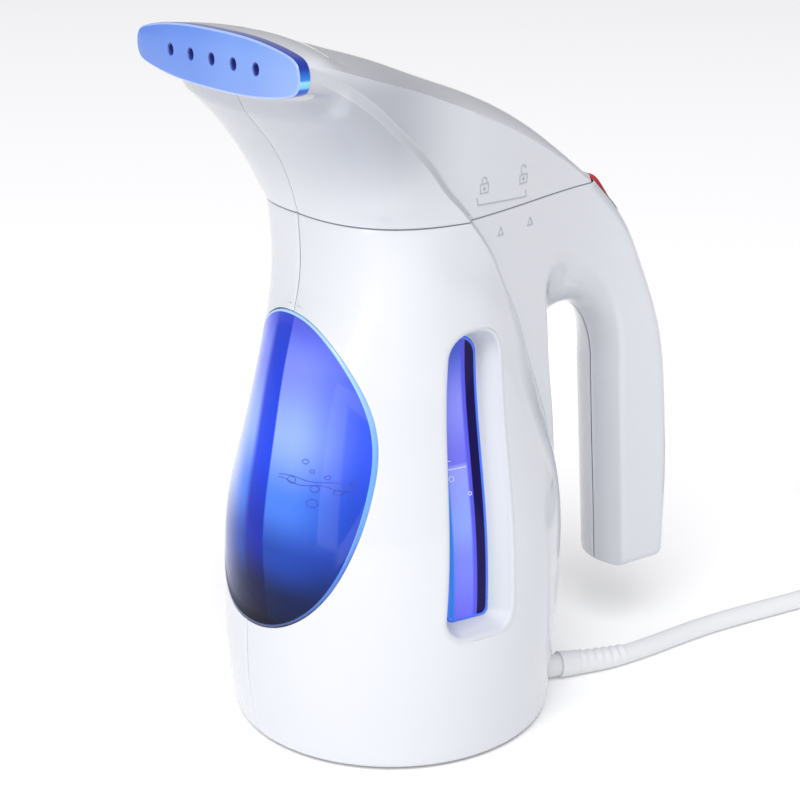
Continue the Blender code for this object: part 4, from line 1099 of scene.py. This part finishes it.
# ---- marks, water line and bubbles
def thread(name, lines, radius, look, body, slot, count=8):
    """Fine raised lines along paths; a path that returns to its first point is closed."""
    shape = bmesh.new()
    for line in lines:
        closed = (Vector(line[0]) - Vector(line[-1])).length < 1e-6
        points = [Vector(p) for p in (line[:-1] if closed else line)]
        rings = []
        for k, point in enumerate(points):
            after = points[(k + 1) % len(points)] if closed or k + 1 < len(points) else point
            before = points[k - 1] if closed or k else point
            along = (after - before).normalized()
            side = along.orthogonal() if abs(along.y) > 0.9 else along.cross(Vector((0, 1, 0)))
            side.normalize()
            up = side.cross(along)
            rings.append([shape.verts.new(point + (side * math.cos(a) + up * math.sin(a)) * radius)
                          for a in around(count)])
        pairs = list(zip(rings, rings[1:])) + ([(rings[-1], rings[0])] if closed else [])
        for first, second in pairs:
            for k in range(count):
                nxt = (k + 1) % count
                shape.faces.new((first[k], first[nxt], second[nxt], second[k]))
        if not closed:
            shape.faces.new(reversed(rings[0]))
            shape.faces.new(rings[-1])
    bmesh.ops.recalc_face_normals(shape, faces=shape.faces)
    return piece(name, shape, look, body, slot, sharp=60)


def arc(x, z, radius, start, stop, count=12):
    return [(x + radius * math.cos(math.radians(a)), z + radius * math.sin(math.radians(a)))
            for a in np.linspace(start, stop, count)]


def on_panel(points):
    """Points (x, z) laid on the fin's left side."""
    fine = []
    for (xa, za), (xb, zb) in zip(points, points[1:]):
        steps = max(1, int(math.hypot(xb - xa, zb - za) / 1.5))
        fine += [(xa + (xb - xa) * k / steps, za + (zb - za) * k / steps) for k in range(steps)]
    fine.append(points[-1])
    return [(x, -float(fin_width(x)) - 0.02, z) for x, z in fine]


def padlock(x, z, lift):
    box = [(x + 2.1 * right, z + 1.5 * up) for right, up in ((-1, -1), (1, -1), (1, 1), (-1, 1), (-1, -1))]
    bow = [(x - 1.3, z + 1.5)] + arc(x, z + 2.4 + lift, 1.3, 180, 0)
    if not lift:
        bow.append((x + 1.3, z + 1.5))
    return [box, bow, arc(x, z, 0.45, 0, 360, 9)]


def make_marks(looks):
    """Padlocks for the head's two positions, a line that joins them, and arrows below the seam."""
    lines = padlock(10.7, 197.6, 0) + padlock(32.9, 197.0, 1.0)
    lines.append([(6.9, 195.0), (7.5, 192.6), (34.9, 190.6), (34.4, 192.9)])
    thread("head_left.marks", [on_panel(line) for line in lines], 0.2, looks["mark"], "head", "white_shell")
    arrows = [[(x - 1.6, 180.2), (x + 1.6, 180.2), (x, 183.0), (x - 1.6, 180.2)] for x in (20.1, 37.6)]
    thread("housing_left.marks", [on_panel(line) for line in arrows], 0.2, looks["mark"], "body",
           "white_shell")


def on_lens(y, z):
    cx, a, b, p = (float(v) for v in section(z))
    return (cx - a * (1 - min(1, abs(y / b)) ** p) ** (1 / p), y, z)


def make_water(looks):
    """The water's surface seen through the lens, and a few bubbles over it."""
    lines = []
    for level, wave in ((102.0, 0.5), (103.6, 0.35)):
        lines.append([on_lens(y, level + wave * math.sin(y * 0.45 + level))
                      for y in np.arange(-37, -11.9, 1.0)])
    for y, z, r in ((-17.5, 102.6, 1.6), (-26, 101.2, 1.5), (-26.3, 96.4, 1.9), (-33, 101.0, 1.3),
                    (-21, 109.4, 1.1), (-24, 106.6, 0.8), (-29, 105.4, 0.9), (-36, 104, 0.9)):
        lines.append([on_lens(y + r * math.cos(a), z + 0.7 * r * math.sin(a)) for a in
                      np.linspace(0, 2 * math.pi, 17)])
        lines[-1][-1] = lines[-1][0]
    thread("front_window.water_line", lines, 0.1, looks["water_line"], "body", "blue_lens", count=6)
    for side, name in ((-1, "level_window_left.scale"), (1, "level_window_right.scale")):
        def on_pane(x, z):
            return (x, side * (float(side_y(x, z)) - SLOT_DEPTH + 0.12), z)
        marks = [[on_pane(x, 104.6) for x in (-7.2, -5.5, -3.5, -1.5, 0.6)],
                 [on_pane(x, 107.4) for x in (-7.0, -6.0, -5.0)]]
        for x, z, r in ((-5.5, 101.5, 0.9), (1.0, 95.5, 0.6)):
            marks.append([on_pane(x + r * math.cos(a), z + r * math.sin(a))
                          for a in np.linspace(0, 2 * math.pi, 13)])
            marks[-1][-1] = marks[-1][0]
        thread(name, marks, 0.16, looks["white_line"], "body", "blue_lens", count=6)


# ---- lead and plug (world millimetres)
CORD_R = 3.65
CORD_ROUTE = [
    (38.4, -28.9, 4.6), (44.3, -30.3, 4.1), (50.5, -31.5, 3.8), (57.3, -32.2, 3.7), (64.3, -32.5, 3.7),
    (71.8, -32.4, 3.7), (79.2, -32.1, 3.7), (86.8, -31.8, 3.7), (94.8, -31.6, 3.7), (103.8, -31.7, 3.7),
    (113.8, -32.2, 3.7), (123.8, -33.0, 3.7), (134.0, -34.0, 3.7), (144.0, -35.0, 3.7),
    (153.0, -35.8, 3.7), (160.5, -36.5, 3.7), (170.0, -37.6, 3.7), (182.0, -39.5, 3.7),
    (195.0, -42.2, 3.7), (209.0, -45.7, 3.7), (223.0, -48.9, 3.7), (236.0, -51.3, 3.7),
    (248.0, -53.0, 3.7),
]
PLUG_ANGLE, PLUG_GAP = -35, 29.5


def coil_facts():
    low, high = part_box("lead_coil")
    middle = (low + high) / 2 / MM
    inner = (high.x - low.x) / 2 / MM - 8 * CORD_R
    return middle.x, middle.y, low.z / MM, inner


def lead_path():
    """The whole lead: along the table, four turns inwards, four more on top outwards, then to the plug."""
    cx, cy, floor, inner = coil_facts()
    radii = [inner + CORD_R + 2 * CORD_R * k for k in (3, 2, 1, 0)]
    radii = radii + radii[::-1]
    low, high = floor + CORD_R, floor + 3 * CORD_R
    points = list(CORD_ROUTE) + [(258.5, -54.2, 3.7), (269.0, -54.8, 3.7)]
    turn = 0.0
    while turn <= 360 * 8 + 55:
        lap, within = divmod(turn, 360)
        lap = int(lap)
        share = float(smooth(180, 270, within))
        after = radii[min(lap + 1, 7)]
        r = radii[min(lap, 7)] + (after - radii[min(lap, 7)]) * share
        z = 3.7 + (low - 3.7) * float(smooth(0, 60, turn))
        z += (high - low) * float(smooth(360 * 4 - 40, 360 * 4 + 50, turn))
        z += (10.9 - high) * float(smooth(360 * 8, 360 * 8 + 55, turn))
        a = math.radians(turn - 90)
        points.append((cx + r * math.cos(a), cy + r * math.sin(a), z))
        turn += 7.5
    x, y, z = points[-1]
    a = math.radians(PLUG_ANGLE)
    points += [(x - k * math.sin(a), y + k * math.cos(a), z) for k in (8, 16, 24, PLUG_GAP + 6)]
    return points


def plug_place():
    cx, cy, _, inner = coil_facts()
    a = math.radians(PLUG_ANGLE)
    reach = inner + 7 * CORD_R
    start = Vector((cx + reach * math.cos(a), cy + reach * math.sin(a), 10.9))
    along = Matrix.Rotation(a, 4, "Z") @ Matrix.Rotation(math.radians(-90), 4, "X")
    return Matrix.Translation(start) @ along @ Matrix.Translation((0, 0, PLUG_GAP))


def make_plug(looks):
    rows = []
    stations = [(0, 4.1, 4.1, 2), (0.6, 4.2, 4.2, 2)]
    for k in range(6):
        z = 2.0 + 3.2 * k
        grow = 4.25 + 0.2 * k
        stations += [(z, grow, grow, 2), (z + 0.5, grow + 0.1, grow, 2), (z + 1.9, grow + 0.15, grow, 2),
                     (z + 2.2, grow - 0.55, grow - 0.55, 2), (z + 2.9, grow - 0.5, grow - 0.5, 2)]
    stations += [(21.8, 5.5, 5.1, 2), (22.4, 7.6, 6.4, 2.2), (23.2, 9.2, 7.5, 2.4), (24.5, 10.2, 8.1, 2.6),
                 (30, 12.5, 9.5, 2.7), (38, 13.4, 10.0, 2.8), (45.6, 14.0, 10.4, 2.8),
                 (46.6, 13.7, 10.2, 2.8), (47.5, 13.2, 9.8, 2.7), (48, 12.6, 9.2, 2.6)]
    for z, wide, tall, power in stations:
        rows.append([(x, y, z) for x, y, _ in pill(wide, tall, 0, 64, power)])
    shape = capped(rows)
    shape.transform(plug_place())
    return piece("plug.shell", shape, looks["cord"], "body", "white_cord", replaces=("plug",),
                 world=True, sharp=40)


def sleeve(path, radii, count=32):
    """A tube of changing radius along a path, resting on the table."""
    rows = []
    for k, (point, radius) in enumerate(zip(path, radii)):
        ahead = Vector(path[min(k + 1, len(path) - 1)]) - Vector(path[max(k - 1, 0)])
        side = ahead.cross(Vector((0, 0, 1))).normalized()
        up = side.cross(ahead).normalized()
        middle = Vector(point)
        middle.z = max(middle.z, radius + 0.08)
        rows.append([tuple(middle + side * radius * math.cos(a) + up * radius * math.sin(a))
                     for a in around(count)])
    return capped(rows)


def make_relief(looks):
    start, towards = Vector(CORD_ROUTE[0]), Vector(CORD_ROUTE[1]) - Vector(CORD_ROUTE[0])
    towards.normalize()
    path, radii = [], []
    line = [start - towards * 9] + [Vector(p) for p in CORD_ROUTE[:5]]
    reach = [0.0]
    for a, b in zip(line, line[1:]):
        reach.append(reach[-1] + (b - a).length)
    curves = [spline(list(zip(reach, [p[k] for p in line]))) for k in range(3)]
    for s in np.arange(0, 29.01, 0.5):
        path.append(tuple(float(c(s)) for c in curves))
        body = 5.0 - 0.035 * s
        rib = 0.0 if s < 8 else 0.32 * (0.5 + 0.5 * math.cos((s - 8) * 2 * math.pi / 3.5))
        radii.append(body - rib if s < 28.5 else 3.75)
    piece("strain_relief.sleeve", sleeve(path, radii), looks["cord"], "body", "white_cord",
          world=True, sharp=60)


def make_lead(looks):
    points = lead_path()
    curve = bpy.data.curves.new("lead", "CURVE")
    curve.dimensions = "3D"
    curve.bevel_depth = CORD_R * MM
    curve.bevel_resolution = 6
    curve.use_fill_caps = True
    line = curve.splines.new("POLY")
    line.points.add(len(points) - 1)
    for point, (x, y, z) in zip(line.points, points):
        point.co = (x * MM, y * MM, z * MM, 1)
    line.use_smooth = True
    lead = bpy.data.objects.new("lead", curve)
    bpy.context.scene.collection.objects.link(lead)
    curve.materials.append(looks["cord"])
    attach(lead, "body")
    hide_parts("mains_lead", "lead_coil")
    plug = make_plug(looks)


# ---- studio
def make_camera():
    azimuth, elevation, distance = math.radians(-34), math.radians(18.9), 0.607
    back = Vector((math.sin(azimuth) * math.cos(elevation), -math.cos(azimuth) * math.cos(elevation),
                   math.sin(elevation)))
    target = Vector((0.0039 + BODY_X * MM, 0, 0.1151))
    data = bpy.data.cameras.new("camera")
    data.lens, data.sensor_width = 76.5, 36
    camera = bpy.data.objects.new("camera", data)
    camera.location = target + back * distance
    camera.rotation_euler = back.to_track_quat("Z", "Y").to_euler()
    bpy.context.scene.collection.objects.link(camera)
    bpy.context.scene.camera = camera
    return back


def area(name, place, towards, size, power, color=(1, 1, 1)):
    data = bpy.data.lights.new(name, "AREA")
    data.shape, data.size, data.size_y = "RECTANGLE", size[0], size[1]
    data.energy, data.color = power, color
    light = bpy.data.objects.new(name, data)
    light.location = place
    light.rotation_euler = (Vector(place) - Vector(towards)).to_track_quat("Z", "Y").to_euler()
    bpy.context.scene.collection.objects.link(light)


def studio_world():
    """Bright from the left and above, dimmer towards the right and the back."""
    world = bpy.data.worlds.new("studio")
    world.use_nodes = True
    nodes, links = world.node_tree.nodes, world.node_tree.links
    coord, split = nodes.new("ShaderNodeTexCoord"), nodes.new("ShaderNodeVectorMath")
    split.operation = "DOT_PRODUCT"
    split.inputs[1].default_value = Vector((-0.75, -0.35, 0.45)).normalized()
    links.new(coord.outputs["Generated"], split.inputs[0])
    ramp = nodes.new("ShaderNodeValToRGB")
    stops = [(0.0, (0.40, 0.40, 0.42)), (0.35, (0.52, 0.52, 0.54)), (0.6, (0.64, 0.64, 0.66)),
             (1.0, (0.88, 0.88, 0.89))]
    while len(ramp.color_ramp.elements) < len(stops):
        ramp.color_ramp.elements.new(0.5)
    for element, (where, color) in zip(ramp.color_ramp.elements, stops):
        element.position, element.color = where, (*color, 1)
    scale = nodes.new("ShaderNodeMapRange")
    scale.inputs["From Min"].default_value = -1
    links.new(split.outputs["Value"], scale.inputs["Value"])
    links.new(scale.outputs[0], ramp.inputs[0])
    links.new(ramp.outputs[0], nodes["Background"].inputs[0])
    return world


def make_studio():
    scene = bpy.context.scene
    scene.view_settings.view_transform = "Standard"
    scene.world = studio_world()
    middle = (BODY_X * MM, 0, 0.12)
    area("strip_left", (-0.85, -0.28, 0.42), middle, (0.24, 0.9), 2.0)
    area("key", (-1.9, -2.3, 4.6), middle, (3.2, 3.2), 130.0)
    shape = bmesh.new()
    for x, y in ((-6, -6), (6, -6), (6, 6), (-6, 6)):
        shape.verts.new((x, y, 0))
    shape.faces.new(shape.verts)
    mesh = bpy.data.meshes.new("floor")
    shape.to_mesh(mesh)
    shape.free()
    floor = bpy.data.objects.new("floor", mesh)
    scene.collection.objects.link(floor)
    mesh.materials.append(Look("floor", (0.95, 0.95, 0.95), 0.7, Emission_Color=(1, 1, 1, 1),
                               Emission_Strength=0.10).grain(40, 0.02).mat)


CAD_LOOKS = {
    "silicone": ("nozzle_gasket", "plate_gasket", "steam_duct"),
    "rubber": ("tank_seal", "foot_1", "foot_2", "foot_3"),
    "aluminium": ("heating_plate",),
    "steel": ("heating_element", "thermostat", "base_screw_1", "base_screw_2", "base_screw_3",
              "grip_screw_lower", "grip_screw_upper"),
    "ceramic": ("thermal_fuse",),
    "black": ("heater_support", "switch_body", "lead_tie"),
    "white_inner": ("base_cover", "head_spigot"),
    "tank": ("tank_collar",),
    "cord": ("strain_relief",),
    "brass": ("plug_blade_1", "plug_blade_2"),
}


def finish_cad(looks):
    for key, names in CAD_LOOKS.items():
        for name in names:
            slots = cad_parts[name].material_slots
            for one in slots:
                one.material = looks[key]


make_camera()
LOOKS = make_looks()
make_lead(LOOKS)
make_relief(LOOKS)
make_body(LOOKS)
make_head(LOOKS)
make_switch(LOOKS)
make_marks(LOOKS)
make_water(LOOKS)
finish_cad(LOOKS)
make_studio()
